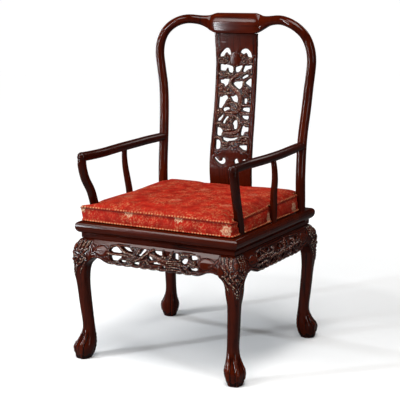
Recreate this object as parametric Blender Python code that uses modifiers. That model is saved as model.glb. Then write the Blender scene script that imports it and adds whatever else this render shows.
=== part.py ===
"""Carved dragon armchair: cabriole legs with ball-and-claw feet, pierced aprons and splat,
a bent round back, curved arms and a loose piped cushion.

Metres, +Z up, the front faces -Y. The origin is on the floor under the middle of the seat.
"""
import math

import bmesh
import bpy
from mathutils import Matrix, Vector

# Seat frame, measured to the outermost line of its moulded edge
SEAT_HALF_WIDTH = 0.2774
SEAT_HALF_DEPTH = 0.2708
SEAT_TOP = 0.431
RAIL_HEIGHT = 0.039
RAIL_WIDTH = 0.058
EDGE_ROUND_TOP = 0.014      # height of the round above its widest line
EDGE_ROUND_BELOW = 0.0205   # height of the round below it
EDGE_FLAT_INSET = 0.0125    # from the widest line in to the flat top
NECK_INSET = 0.0146         # from the widest line in to the waist

# Waist strips between the seat frame and the aprons
WAIST_HEIGHT = 0.0105
WAIST_THICKNESS = 0.012

# Seat panel and its battens
PANEL_THICKNESS = 0.010
PANEL_DROP = 0.004          # panel top below the frame top
BATTEN_HEIGHT = 0.020
BATTEN_WIDTH = 0.040
BATTEN_OFFSET = 0.090       # batten centre from the middle of the seat

# Legs
LEG_BLOCK = 0.0475          # side of the square block behind the waist line
CLAW_RELIEF = 0.0032        # how far a toe stands out of the ball
CLAW_TOP = 0.088            # where the toes start, above the floor

# Aprons
APRON_DEPTH = 0.070
APRON_THICKNESS = 0.016
APRON_SCALLOP = 0.0035      # drop of each scallop along the lower edge

# Back frame of round stock
BACK_INSET = 0.0014         # from the seat frame's side in to the centre line at its widest
BACK_RISE = 0.5946          # from the seat to the highest centre line
BACK_POST_INSET = 0.0648    # from the seat frame's back to the post centres
BACK_RAKE = 0.0445
POST_RADIUS = 0.0150
POST_FOOT_RADIUS = 0.0157

# Crest rail
CREST_ABOVE = 0.0199        # top above the highest centre line
CREST_HEIGHT = 0.064
CREST_DEPTH = 0.037
CREST_HALF_TOP = 0.069      # half length of its level top
CREST_HALF_END = 0.088      # half length over its ends
CREST_END_HEIGHT = 0.051
CREST_END_DEPTH = 0.033

# Splat
SPLAT_HALF_WIDTH = 0.0725
SPLAT_THICKNESS = 0.012
SPLAT_SWING = 0.0445        # from its foremost to its rearmost line
SPLAT_INSET = 0.060         # from the seat frame's back to the foremost line of its middle

# Arms
ARM_RISE = 0.196            # knuckle centre above the seat
KNUCKLE_INSET = 0.0204      # from the seat frame's side to the knuckle centre
KNUCKLE_SETBACK = 0.0188    # from the seat frame's front to the knuckle centre
ARM_BOW = 0.0060
ARM_LIFT = 0.009
ARM_RADIUS = 0.0140
KNUCKLE_RADIUS = 0.0147
FRONT_POST_RADIUS = 0.0135
FRONT_POST_SETBACK = 0.0718  # from the seat frame's front to the foot centre
FRONT_POST_INSET = 0.008    # foot centre inside the knuckle
SIDE_POST_RADIUS = 0.0105
SIDE_POST_PLACE = 0.004     # foot centre behind the seat's middle
SIDE_POST_BULGE = 0.0085
SIDE_POST_INSET = 0.0194    # from the seat frame's side to the foot centre
SIDE_POST_LEAN = 0.017

# Cushion
CUSHION_SIDE_INSET = 0.0154  # from the seat frame's widest line to the cushion
CUSHION_FRONT_INSET = 0.0078
CUSHION_BACK_INSET = 0.0308
CUSHION_EDGE = 0.0455       # height of its front edge
CUSHION_BACK_LIFT = 0.010   # more at the back edge
CUSHION_CROWN = 0.014
CUSHION_CORNER = 0.006
PIPING = 0.0052
CUSHION_CLEARANCE = 0.0016

# Fits
GAP = 0.0003
OVERRUN = 0.020
WELD = 0.00001

# Counts
LEG_SIDES = 24
TUBE_SIDES = 12
SECTION_SIDES = 16
SCALLOPS = 9
SCALLOP_STEPS = 4
ARC_STEPS = 5
SMOOTH_STEPS = 3
PATH_STEPS = 2
SPLAT_BENDS = 15

# Worked out from the above
RAIL_BOTTOM = SEAT_TOP - RAIL_HEIGHT
APRON_TOP = RAIL_BOTTOM - WAIST_HEIGHT
WAIST_HALF_WIDTH = SEAT_HALF_WIDTH - NECK_INSET
WAIST_HALF_DEPTH = SEAT_HALF_DEPTH - NECK_INSET
ARM_HEIGHT = SEAT_TOP + ARM_RISE
ARM_HALF_WIDTH = SEAT_HALF_WIDTH - KNUCKLE_INSET
ARM_FRONT = SEAT_HALF_DEPTH - KNUCKLE_SETBACK
FRONT_POST_FOOT = SEAT_HALF_DEPTH - FRONT_POST_SETBACK
SIDE_POST_HALF_WIDTH = SEAT_HALF_WIDTH - SIDE_POST_INSET
BACK_HALF_WIDTH = SEAT_HALF_WIDTH - BACK_INSET
BACK_SETBACK = SEAT_HALF_DEPTH - BACK_POST_INSET
CREST_TOP = SEAT_TOP + BACK_RISE + CREST_ABOVE
CREST_BOTTOM = CREST_TOP - CREST_HEIGHT
SPLAT_FRONT = SEAT_HALF_DEPTH - SPLAT_INSET
CUSHION_HALF_WIDTH = SEAT_HALF_WIDTH - CUSHION_SIDE_INSET
CUSHION_FRONT = SEAT_HALF_DEPTH - CUSHION_FRONT_INSET
CUSHION_BACK = SEAT_HALF_DEPTH - CUSHION_BACK_INSET

# Leg sections from the floor to the apron top: height as a share of the apron top, then centre
# and half side as shares of the leg block, measured along both sides from the waist line, the
# squareness of the section, and how far its two side corners stand out
leg_section_shares = (
    (0.000, 0.020, 0.440, 2.4, 0.0),
    (0.014, 0.010, 0.515, 2.4, 0.0),
    (0.048, -0.018, 0.556, 2.3, 0.0),
    (0.080, -0.014, 0.624, 2.3, 0.0),
    (0.106, -0.034, 0.632, 2.3, 0.0),
    (0.134, -0.092, 0.578, 2.3, 0.0),
    (0.164, -0.160, 0.484, 2.4, 0.0),
    (0.198, -0.202, 0.424, 2.4, 0.0),
    (0.240, -0.235, 0.358, 2.6, 0.0),
    (0.290, -0.224, 0.326, 2.9, 0.0),
    (0.370, -0.170, 0.336, 3.3, 0.0),
    (0.480, -0.105, 0.346, 3.8, 0.0),
    (0.632, -0.036, 0.346, 4.6, 0.0),
    (0.678, -0.006, 0.400, 5.5, 0.06),
    (0.745, -0.006, 0.416, 7.0, 0.05),
    (0.785, -0.050, 0.476, 9.0, 0.02),
    (0.815, -0.130, 0.560, 14.0, 0.0),
    (0.842, -0.279, 0.721, 40.0, 0.0),
    (0.878, -0.283, 0.717, 40.0, 0.0),
    (0.930, -0.320, 0.680, 40.0, 0.0),
    (0.968, -0.398, 0.602, 40.0, 0.0),
    (1.000, -0.488, 0.512, 40.0, 0.0),
)
WING_SPREAD = 16.0
BLOCK_FOOT_SHARE = 0.842
BLOCK_SQUARENESS = 40.0

# Toes round the ball: bearing from the outer corner in degrees and size
toe_shares = ((0.0, 1.0), (58.0, 0.95), (-58.0, 0.95), (180.0, 0.7))
TOE_SPREAD = 14.0
TOE_VALLEY_SHARE = 0.35
TOE_START_SHARE = 0.25

# Lower edge of an apron at one end, from the leg inwards: place along the half length and drop
apron_edge_shares = ((1.000, 0.83), (0.960, 0.785), (0.910, 0.765), (0.850, 0.80), (0.780, 0.90),
                     (0.715, 0.97), (0.660, 0.985))
SCALLOP_END_SHARE = 0.62

# Pierced openings of the front apron: place along the half length and drop
front_opening_shares = (
    ((-0.70, 0.33), (-0.62, 0.17), (-0.54, 0.21), (-0.48, 0.42), (-0.67, 0.43)),
    ((-0.52, 0.19), (-0.42, 0.165), (-0.29, 0.25), (-0.33, 0.33), (-0.44, 0.31)),
    ((-0.70, 0.58), (-0.57, 0.57), (-0.52, 0.62), (-0.56, 0.76), (-0.65, 0.87), (-0.69, 0.77)),
    ((-0.54, 0.78), (-0.48, 0.71), (-0.39, 0.72), (-0.48, 0.84)),
    ((-0.35, 0.85), (-0.24, 0.69), (-0.20, 0.84)),
    ((-0.27, 0.45), (-0.16, 0.22), (-0.10, 0.16), (-0.11, 0.27), (-0.16, 0.42), (-0.24, 0.50)),
    ((-0.02, 0.24), (0.04, 0.16), (0.14, 0.16), (0.15, 0.29), (0.05, 0.33)),
    ((-0.12, 0.52), (-0.01, 0.39), (0.01, 0.56), (-0.07, 0.65)),
    ((-0.06, 0.76), (0.01, 0.66), (0.12, 0.70), (0.11, 0.83), (-0.02, 0.84)),
    ((0.17, 0.17), (0.28, 0.16), (0.26, 0.33), (0.17, 0.33)),
    ((0.27, 0.44), (0.31, 0.18), (0.40, 0.18), (0.39, 0.46)),
    ((0.56, 0.25), (0.62, 0.15), (0.71, 0.21), (0.70, 0.34), (0.60, 0.38)),
    ((0.56, 0.64), (0.67, 0.66), (0.71, 0.64), (0.69, 0.79), (0.58, 0.84)),
    ((0.41, 0.62), (0.50, 0.31), (0.54, 0.31), (0.52, 0.58), (0.42, 0.72)),
)

# Pierced openings of a side apron, from the front leg to the back one
side_opening_shares = (
    ((-0.68, 0.40), (-0.62, 0.24), (-0.53, 0.20), (-0.55, 0.34), (-0.62, 0.44)),
    ((-0.69, 0.56), (-0.58, 0.54), (-0.56, 0.63), (-0.66, 0.66)),
    ((-0.68, 0.76), (-0.58, 0.75), (-0.54, 0.84), (-0.63, 0.88)),
    ((-0.40, 0.20), (-0.29, 0.18), (-0.26, 0.29), (-0.36, 0.33)),
    ((-0.33, 0.74), (-0.24, 0.62), (-0.17, 0.74), (-0.25, 0.84)),
    ((-0.08, 0.36), (0.00, 0.18), (0.09, 0.22), (0.06, 0.38), (-0.01, 0.48)),
    ((0.02, 0.78), (0.12, 0.66), (0.19, 0.76), (0.11, 0.85)),
    ((0.22, 0.44), (0.28, 0.20), (0.34, 0.22), (0.30, 0.50)),
    ((0.38, 0.74), (0.47, 0.66), (0.50, 0.80), (0.43, 0.86)),
    ((0.53, 0.34), (0.58, 0.19), (0.68, 0.26), (0.64, 0.40)),
    ((0.60, 0.62), (0.70, 0.56), (0.70, 0.72), (0.63, 0.80)),
)

# Centre line of the right half of the back: across, back and up
back_path_shares = (
    (0.922, 0.00, 0.000),
    (0.922, 0.00, 0.060),
    (0.920, 0.00, 0.200),
    (0.922, 0.21, 0.380),
    (0.943, 0.51, 0.537),
    (0.962, 0.61, 0.645),
    (0.990, 0.60, 0.745),
    (1.000, 0.54, 0.806),
    (0.980, 0.48, 0.866),
    (0.925, 0.44, 0.920),
    (0.835, 0.39, 0.960),
    (0.725, 0.40, 0.987),
    (0.610, 0.51, 1.000),
    (0.500, 0.70, 0.997),
    (0.410, 0.86, 0.990),
    (0.3188, 1.00, 0.981),
)
POST_TOP_STEP = 5           # the post ends and the shoulder starts at this point
FLARE_START_SHARE = 0.50
# Crest rail from its level top to its ends: along and how far it has tapered
crest_taper_shares = ((0.00, 0.00), (0.45, 0.35), (1.00, 1.00))

# Section of the crest rail from its back round under its front to its top: back and up
crest_section_shares = (
    (1.00, 0.00), (1.00, -0.45), (0.95, -0.92), (0.50, -1.00), (0.00, -1.00), (-0.50, -1.00),
    (-0.92, -0.98), (-1.00, -0.50), (-1.00, 0.02), (-0.92, 0.24), (-0.62, 0.62), (-0.28, 0.95),
    (0.02, 1.00), (0.45, 1.00), (0.82, 0.84), (1.00, 0.45),
)

# Splat: half width along its height, then how far its middle swings back
splat_width_shares = ((0.00, 0.985), (0.25, 1.01), (0.50, 0.975), (0.70, 0.96), (0.85, 0.97),
                      (1.00, 1.025))
splat_swing_shares = ((0.00, 0.17), (0.11, 0.08), (0.20, 0.00), (0.30, 0.10), (0.40, 0.31),
                      (0.50, 0.52), (0.60, 0.72), (0.70, 0.86), (0.78, 0.96), (0.86, 1.00),
                      (0.93, 0.96), (1.00, 0.90))

# Pierced openings of the splat: across the half width and up the height
splat_opening_shares = (
    ((-0.83, 0.860), (-0.73, 0.892), (-0.55, 0.913), (-0.38, 0.911), (-0.27, 0.887),
     (-0.31, 0.870), (-0.47, 0.890), (-0.67, 0.862)),
    ((0.25, 0.890), (0.37, 0.909), (0.54, 0.915), (0.72, 0.898), (0.82, 0.868), (0.76, 0.857),
     (0.62, 0.866), (0.49, 0.889), (0.34, 0.873)),
    ((-0.80, 0.810), (-0.47, 0.819), (-0.16, 0.804), (-0.16, 0.780), (-0.24, 0.768),
     (-0.37, 0.788), (-0.57, 0.786), (-0.75, 0.775)),
    ((-0.03, 0.798), (0.31, 0.813), (0.25, 0.792), (0.06, 0.771), (-0.03, 0.780)),
    ((0.45, 0.810), (0.79, 0.818), (0.73, 0.796), (0.56, 0.784), (0.42, 0.774)),
    ((0.31, 0.738), (0.44, 0.753), (0.64, 0.762), (0.62, 0.748), (0.44, 0.737)),
    ((-0.79, 0.736), (-0.33, 0.740), (-0.37, 0.715), (-0.50, 0.688), (-0.67, 0.700)),
    ((-0.15, 0.706), (0.03, 0.717), (0.33, 0.723), (0.37, 0.698), (0.22, 0.676), (0.02, 0.685)),
    ((0.54, 0.706), (0.68, 0.727), (0.80, 0.731), (0.80, 0.690), (0.64, 0.694)),
    ((-0.79, 0.616), (-0.52, 0.636), (-0.40, 0.616), (-0.51, 0.592), (-0.64, 0.562),
     (-0.78, 0.563)),
    ((-0.25, 0.628), (-0.02, 0.640), (0.14, 0.619), (0.14, 0.594), (-0.08, 0.602)),
    ((0.49, 0.620), (0.63, 0.628), (0.64, 0.602), (0.54, 0.588)),
    ((-0.56, 0.546), (-0.46, 0.562), (-0.26, 0.568), (-0.23, 0.554), (-0.42, 0.542)),
    ((0.44, 0.560), (0.60, 0.572), (0.78, 0.571), (0.78, 0.545), (0.50, 0.549)),
    ((-0.79, 0.498), (-0.60, 0.518), (-0.62, 0.497), (-0.77, 0.480)),
    ((-0.51, 0.472), (-0.46, 0.494), (-0.27, 0.515), (-0.31, 0.494), (-0.42, 0.468)),
    ((-0.01, 0.472), (0.14, 0.494), (0.24, 0.480), (0.21, 0.454), (0.11, 0.442)),
    ((0.43, 0.516), (0.77, 0.521), (0.78, 0.502), (0.56, 0.499)),
    ((0.48, 0.464), (0.78, 0.456), (0.79, 0.428), (0.62, 0.412), (0.47, 0.412)),
    ((-0.79, 0.446), (-0.60, 0.444), (-0.47, 0.426), (-0.52, 0.400), (-0.77, 0.396)),
    ((-0.48, 0.383), (-0.04, 0.385), (0.30, 0.393), (0.17, 0.376), (-0.18, 0.367),
     (-0.40, 0.373)),
    ((-0.79, 0.358), (-0.69, 0.373), (-0.57, 0.358), (-0.56, 0.332), (-0.70, 0.314),
     (-0.79, 0.328)),
    ((0.40, 0.338), (0.60, 0.352), (0.80, 0.350), (0.80, 0.321), (0.62, 0.318)),
)
# The scroll-shaped opening at the foot of the carving, cut once at each side
splat_scroll_shares = ((-0.82, 0.266), (-0.68, 0.258), (-0.51, 0.243), (-0.42, 0.251),
                       (-0.34, 0.268), (-0.24, 0.265), (-0.20, 0.250), (-0.27, 0.234),
                       (-0.43, 0.228), (-0.59, 0.237), (-0.74, 0.251))

# Arm rail from the knuckle to the back post: along, out and up
arm_rail_shares = ((0.00, 0.0, 0.00), (0.11, -0.75, 0.02), (0.22, -0.90, 0.09), (0.33, -0.20, 0.19),
                   (0.43, 0.45, 0.29), (0.55, 0.80, 0.42), (0.67, 0.85, 0.58), (0.78, 0.65, 0.80),
                   (0.89, 0.25, 0.92), (1.00, 0.0, 1.00))
# Arm front post from its foot: out, forward and up
front_post_shares = ((0.00, 0.00, 0.00), (0.00, 0.00, 0.08), (0.02, 0.12, 0.24), (0.22, 0.38, 0.45),
                     (0.95, 0.76, 0.66), (1.15, 0.97, 0.86), (1.00, 1.00, 1.00))
# Arm side post from its foot: out, forward, up and thickness
side_post_shares = ((0.00, 0.00, 0.00, 0.95), (0.00, 0.00, 0.10, 1.00), (0.00, 0.02, 0.26, 1.05),
                    (0.38, 0.34, 0.46, 1.00), (0.93, 0.56, 0.66, 0.92), (0.95, 0.80, 0.84, 0.84),
                    (0.50, 1.00, 1.00, 0.78))

# Cushion cage from the underside up past both pipings: inset in pipings and height
cushion_side_shares = ((2.5, 0.00), (0.3, 0.00), (0.0, 0.13), (1.1, 0.20), (0.3, 0.50),
                       (1.1, 0.81), (0.0, 0.88), (0.3, 1.03))
# Cage of its crown: inset as a share of the half depth, rise as a share of the crown
cushion_crown_shares = ((0.07, 0.14), (0.20, 0.78), (0.52, 1.04))
# Cage points along each of its edges
cushion_edge_shares = (0.0, 0.05, 0.95)


# Materials


def make_material(name, colour, roughness):
    """Return a plain Principled material."""
    material = bpy.data.materials.new(name)
    material.use_nodes = True
    shader = material.node_tree.nodes["Principled BSDF"]
    shader.inputs["Base Color"].default_value = (*colour, 1.0)
    shader.inputs["Roughness"].default_value = roughness
    shader.inputs["Metallic"].default_value = 0.0
    material.diffuse_color = (*colour, 1.0)
    return material


# Shared helpers


def interpolate(table, value):
    """Read the second column of a table at a value of its first column."""
    if value <= table[0][0]:
        return table[0][1]
    for (low, start), (high, end) in zip(table[:-1], table[1:]):
        if value <= high:
            return start + (end - start) * (value - low) / (high - low)
    return table[-1][1]


def smooth_path(points, steps):
    """Return points on a Catmull-Rom curve through the given points."""
    points = [Vector(point) for point in points]
    before = points[0] * 2 - points[1]
    after = points[-1] * 2 - points[-2]
    row = [before, *points, after]
    path = []
    for a, b, c, d in zip(row, row[1:], row[2:], row[3:]):
        for step in range(steps):
            t = step / steps
            path.append((b * 2 + (c - a) * t + (a * 2 - b * 5 + c * 4 - d) * t ** 2
                         + (b * 3 - a - c * 3 + d) * t ** 3) / 2)
    path.append(points[-1])
    return path


def add_object(name, mesh, material, collection, angle=math.radians(35)):
    """Link a mesh as an object with its material, smooth but for its real edges."""
    mesh.materials.clear()
    mesh.materials.append(material)
    mesh.shade_smooth()
    mesh.set_sharp_from_angle(angle=angle)
    obj = bpy.data.objects.new(name, mesh)
    collection.objects.link(obj)
    return obj


def mesh_from(bm, name):
    """Turn a bmesh into a mesh whose faces point out."""
    bmesh.ops.recalc_face_normals(bm, faces=bm.faces)
    mesh = bpy.data.meshes.new(name)
    bm.to_mesh(mesh)
    bm.free()
    return mesh


def bmesh_from_curve(curve):
    """Turn a curve datablock into a bmesh with its caps welded on."""
    guide = bpy.data.objects.new(curve.name, curve)
    bpy.context.scene.collection.objects.link(guide)
    graph = bpy.context.evaluated_depsgraph_get()
    mesh = bpy.data.meshes.new_from_object(guide.evaluated_get(graph))
    bm = bmesh.new()
    bm.from_mesh(mesh)
    bmesh.ops.remove_doubles(bm, verts=bm.verts, dist=WELD)
    bpy.data.objects.remove(guide)
    bpy.data.meshes.remove(mesh)
    bpy.data.curves.remove(curve)
    return bm


def board(name, outline, openings, thickness):
    """Return a flat board in the XZ plane, pierced by smooth openings, its middle at Y 0."""
    curve = bpy.data.curves.new(name, "CURVE")
    curve.dimensions = "2D"
    curve.fill_mode = "BOTH"
    curve.extrude = thickness / 2
    curve.render_resolution_u = 0
    edge = curve.splines.new("POLY")
    edge.points.add(len(outline) - 1)
    for point, (x, z) in zip(edge.points, outline):
        point.co = (x, z, 0.0, 1.0)
    edge.use_cyclic_u = True
    for opening in openings:
        spline = curve.splines.new("BEZIER")
        spline.bezier_points.add(len(opening) - 1)
        spline.resolution_u = SMOOTH_STEPS
        spline.use_cyclic_u = True
        for point, (x, z) in zip(spline.bezier_points, opening):
            point.co = (x, z, 0.0)
            point.handle_left_type = "AUTO"
            point.handle_right_type = "AUTO"
    bm = bmesh_from_curve(curve)
    bmesh.ops.rotate(bm, verts=bm.verts, matrix=Matrix.Rotation(math.radians(90), 3, "X"))
    return bm


def bend(bm, heights, offset):
    """Cut a board at the given heights and move each point along Y by offset(height)."""
    for height in heights:
        bmesh.ops.bisect_plane(bm, geom=bm.verts[:] + bm.edges[:] + bm.faces[:], dist=WELD,
                               plane_co=(0, 0, height), plane_no=(0, 0, 1))
    for vert in bm.verts:
        vert.co.y += offset(vert.co.z)


def trim(bm, place, normal):
    """Cut away what lies beyond a plane and close the cut."""
    result = bmesh.ops.bisect_plane(bm, geom=bm.verts[:] + bm.edges[:] + bm.faces[:], dist=WELD,
                                    plane_co=place, plane_no=normal, clear_outer=True)
    edges = [item for item in result["geom_cut"] if isinstance(item, bmesh.types.BMEdge)]
    bmesh.ops.holes_fill(bm, edges=edges)


def loft(rings, closed_end=True):
    """Join rings of equal counts with quads, and close the first and, if asked, the last."""
    bm = bmesh.new()
    rows = [[bm.verts.new(point) for point in ring] for ring in rings]
    count = len(rows[0])
    for lower, upper in zip(rows, rows[1:]):
        for k in range(count):
            n = (k + 1) % count
            bm.faces.new((lower[k], lower[n], upper[n], upper[k]))
    bm.faces.new(rows[0])
    if closed_end:
        bm.faces.new(rows[-1])
    return bm


def tube(name, path, radii, sides=TUBE_SIDES):
    """Return a round bar along a path, with its own radius at each point."""
    curve = bpy.data.curves.new(name, "CURVE")
    curve.dimensions = "3D"
    curve.bevel_depth = max(radii)
    curve.bevel_resolution = sides // 2 - 2
    curve.use_fill_caps = True
    curve.render_resolution_u = 0
    spline = curve.splines.new("POLY")
    spline.points.add(len(path) - 1)
    for point, place, radius in zip(spline.points, path, radii):
        point.co = (*place, 1.0)
        point.radius = radius / max(radii)
    return bmesh_from_curve(curve)


def mirrored(bm, side):
    """Mirror a bmesh across the middle of the chair for the left side."""
    if side < 0:
        bmesh.ops.scale(bm, verts=bm.verts, vec=(-1, 1, 1))
    return bm


def add_cutter(name, bm, cutters):
    """Keep a closed solid as a cutter, out of the render."""
    cutter = bpy.data.objects.new(name, mesh_from(bm, name))
    cutter.hide_render = True
    cutter.display_type = "WIRE"
    cutters.objects.link(cutter)
    return cutter


def cut(obj, cutter):
    """Cut one solid out of another."""
    modifier = obj.modifiers.new(cutter.name, "BOOLEAN")
    modifier.operation = "DIFFERENCE"
    modifier.solver = "EXACT"
    modifier.object = cutter


def box(low, high):
    """Return a box between two corners."""
    bm = bmesh.new()
    bmesh.ops.create_cube(bm, size=1.0)
    size = Vector(high) - Vector(low)
    bmesh.ops.scale(bm, verts=bm.verts, vec=size)
    bmesh.ops.translate(bm, verts=bm.verts, vec=(Vector(high) + Vector(low)) / 2)
    return bm


# Seat frame, waist and panel


def edge_profile():
    """Return the seat rail's section: outward from the widest line, and height."""
    widest = SEAT_TOP - EDGE_ROUND_TOP
    points = [(-RAIL_WIDTH, RAIL_BOTTOM), (-NECK_INSET, RAIL_BOTTOM)]
    for step in range(ARC_STEPS + 1):
        turn = math.radians(90) * (1 - step / ARC_STEPS)
        points.append((NECK_INSET * (math.cos(turn) - 1),
                       widest - EDGE_ROUND_BELOW * math.sin(turn)))
    for step in range(1, ARC_STEPS + 1):
        turn = math.radians(90) * step / ARC_STEPS
        points.append((EDGE_FLAT_INSET * (math.cos(turn) - 1),
                       widest + EDGE_ROUND_TOP * math.sin(turn)))
    points.append((-RAIL_WIDTH, SEAT_TOP))
    return points


def waist_profile():
    """Return the waist strip's section behind the neck line."""
    low, high = APRON_TOP + GAP, RAIL_BOTTOM - GAP
    back = -NECK_INSET - WAIST_THICKNESS
    return [(back, low), (-NECK_INSET, low), (-NECK_INSET, high), (back, high)]


def mitred_strip(name, profile, quarter, shift=0.0, clearance=GAP / 2):
    """Run a section along one side of the seat, cut at 45 degrees where it meets its neighbours."""
    sideways = quarter % 2 == 1
    half_length = SEAT_HALF_DEPTH if sideways else SEAT_HALF_WIDTH
    half_reach = SEAT_HALF_WIDTH if sideways else SEAT_HALF_DEPTH
    curve = bpy.data.curves.new(name, "CURVE")
    curve.dimensions = "2D"
    curve.fill_mode = "BOTH"
    curve.extrude = half_length + OVERRUN
    curve.render_resolution_u = 0
    spline = curve.splines.new("POLY")
    spline.points.add(len(profile) - 1)
    for point, (out, height) in zip(spline.points, profile):
        point.co = (-half_reach - out - shift, height + shift, 0.0, 1.0)
    spline.use_cyclic_u = True
    bm = bmesh_from_curve(curve)
    # the section's X and Y become the chair's Y and Z, and its depth the chair's X
    turned = Matrix(((0, 0, 1), (1, 0, 0), (0, 1, 0)))
    bmesh.ops.transform(bm, verts=bm.verts, matrix=turned.to_4x4())
    for end in (-1, 1):
        corner = Vector((end * half_length, -half_reach, 0))
        normal = Vector((end, 1, 0)).normalized()
        trim(bm, corner - normal * clearance, normal)
    bmesh.ops.rotate(bm, verts=bm.verts, matrix=Matrix.Rotation(math.radians(90) * quarter, 3, "Z"))
    return bm


SIDE_NAMES = ("front", "right", "back", "left")


def build_seat(wood, collection, cutters):
    """Make the moulded rails, the waist strips, the panel and its battens; return rail cutters."""
    rail_cutters = {}
    for quarter, side in enumerate(SIDE_NAMES):
        rail = mitred_strip("rail", edge_profile(), quarter)
        add_object(f"seat_rail_{side}", mesh_from(rail, "rail"), wood, collection)
        waist = mitred_strip("waist", waist_profile(), quarter)
        add_object(f"waist_{side}", mesh_from(waist, "waist"), wood, collection)
        seat = mitred_strip("seat", edge_profile(), quarter, shift=GAP, clearance=0.0)
        rail_cutters[side] = add_cutter(f"cutter_rail_{side}", seat, cutters)
    inner_width = SEAT_HALF_WIDTH - RAIL_WIDTH - GAP
    inner_depth = SEAT_HALF_DEPTH - RAIL_WIDTH - GAP
    panel_top = SEAT_TOP - PANEL_DROP
    panel_bottom = panel_top - PANEL_THICKNESS
    panel = box((-inner_width, -inner_depth, panel_bottom), (inner_width, inner_depth, panel_top))
    add_object("seat_panel", mesh_from(panel, "panel"), wood, collection)
    for side, place in (("front", -BATTEN_OFFSET), ("back", BATTEN_OFFSET)):
        low = (-inner_width, place - BATTEN_WIDTH / 2, panel_bottom - GAP - BATTEN_HEIGHT)
        high = (inner_width, place + BATTEN_WIDTH / 2, panel_bottom - GAP)
        add_object(f"seat_batten_{side}", mesh_from(box(low, high), "batten"), wood, collection)
    return rail_cutters


# Legs


def toe_relief(bearing, height):
    """Return how far the claw stands out of the ball at a bearing from the outer corner."""
    if height >= CLAW_TOP:
        return 0.0
    swell = math.sin(math.pi * min(1.0, height / CLAW_TOP + TOE_START_SHARE))
    total = 0.0
    for toe, size in toe_shares:
        away = (bearing - toe + 180.0) % 360.0 - 180.0
        total += size * math.exp(-(away / TOE_SPREAD) ** 2)
    return CLAW_RELIEF * swell * (total - TOE_VALLEY_SHARE)


def leg_ring(centre, half, squareness, height, wing=0.0):
    """Return one section of a leg, measured out from the waist corner along both sides."""
    ring = []
    for k in range(LEG_SIDES):
        turn = 2 * math.pi * k / LEG_SIDES
        c, s = math.cos(turn), math.sin(turn)
        reach = half / (abs(c) ** squareness + abs(s) ** squareness) ** (1 / squareness)
        bearing = (math.degrees(turn) + 135.0) % 360.0 - 180.0
        reach += toe_relief(bearing, height)
        reach += wing * math.exp(-((abs(bearing) - 90.0) / WING_SPREAD) ** 2)
        ring.append((centre + reach * c, centre + reach * s, height))
    return ring


def build_leg(name, across, along, wood, collection):
    """Make one cabriole leg with its claw foot and the block that carries the frame."""
    rings = [leg_ring(centre * LEG_BLOCK, half * LEG_BLOCK, squareness, share * APRON_TOP,
                      wing * LEG_BLOCK)
             for share, centre, half, squareness, wing in leg_section_shares]
    # the block goes on up inside the waist strips
    outer = -WAIST_THICKNESS - GAP
    centre, half = (outer - LEG_BLOCK) / 2, (outer + LEG_BLOCK) / 2
    rings.append(leg_ring(centre, half, BLOCK_SQUARENESS, APRON_TOP))
    rings.append(leg_ring(centre, half, BLOCK_SQUARENESS, RAIL_BOTTOM - GAP))
    placed = [[(across * (WAIST_HALF_WIDTH + x), along * (WAIST_HALF_DEPTH + y), z) for x, y, z in ring]
              for ring in rings]
    add_object(name, mesh_from(loft(placed), name), wood, collection)


# Aprons


def apron_swell(height):
    """Return how far an apron's face stands out of the waist line: it runs on from the legs."""
    table = [(share * APRON_TOP, (centre + half) * LEG_BLOCK)
             for share, centre, half, *_ in leg_section_shares if share >= BLOCK_FOOT_SHARE]
    return interpolate(table, height)


def apron_outline(half_length):
    """Return an apron's outline: straight top, arched ends and a scalloped middle."""
    right = [(place * half_length, APRON_TOP - drop * APRON_DEPTH) for place, drop in apron_edge_shares]
    middle = []
    reach = SCALLOP_END_SHARE * half_length
    for step in range(SCALLOPS * SCALLOP_STEPS + 1):
        turn = math.pi * step / SCALLOP_STEPS
        drop = APRON_DEPTH + APRON_SCALLOP * (abs(math.sin(turn)) - 1)
        middle.append((reach * (1 - 2 * step / (SCALLOPS * SCALLOP_STEPS)), APRON_TOP - drop))
    left = [(-x, z) for x, z in reversed(right)]
    return [(half_length, APRON_TOP), *right, *middle, *left, (-half_length, APRON_TOP)]


def build_apron(name, quarter, openings, wood, collection):
    """Make one apron, swelled like the knees and pierced by its openings."""
    sideways = quarter % 2 == 1
    half_waist = WAIST_HALF_DEPTH if sideways else WAIST_HALF_WIDTH
    reach = WAIST_HALF_WIDTH if sideways else WAIST_HALF_DEPTH
    half_length = half_waist - LEG_BLOCK - GAP
    holes = [[(x * half_length, APRON_TOP - drop * APRON_DEPTH) for x, drop in hole] for hole in openings]
    bm = board(name, apron_outline(half_length), holes, APRON_THICKNESS)
    heights = [share * APRON_TOP for share, *_ in leg_section_shares if BLOCK_FOOT_SHARE <= share < 1]
    bend(bm, heights, lambda height: -reach - apron_swell(height) + APRON_THICKNESS / 2)
    bmesh.ops.rotate(bm, verts=bm.verts, matrix=Matrix.Rotation(math.radians(90) * quarter, 3, "Z"))
    add_object(name, mesh_from(bm, name), wood, collection)


# Back


def back_point(share):
    """Turn shares of the back's width, rake and rise into a place on its right half."""
    across, back, up = share
    return Vector((across * BACK_HALF_WIDTH, BACK_SETBACK + back * BACK_RAKE, SEAT_TOP + up * BACK_RISE))


def section_ring(centre, tangent, half_depth, half_height, blend):
    """Return a section across the path, from round at blend 0 to the crest's own at blend 1."""
    back = (Vector((0, 1, 0)) - tangent * tangent.y).normalized()
    down = tangent.cross(back)
    ring = []
    for k, (depth_share, height_share) in enumerate(crest_section_shares):
        turn = 2 * math.pi * k / SECTION_SIDES
        depth = half_depth * (math.cos(turn) * (1 - blend) + depth_share * blend)
        drop = half_height * (math.sin(turn) * (1 - blend) - height_share * blend)
        ring.append(centre + back * depth + down * drop)
    return ring


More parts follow.
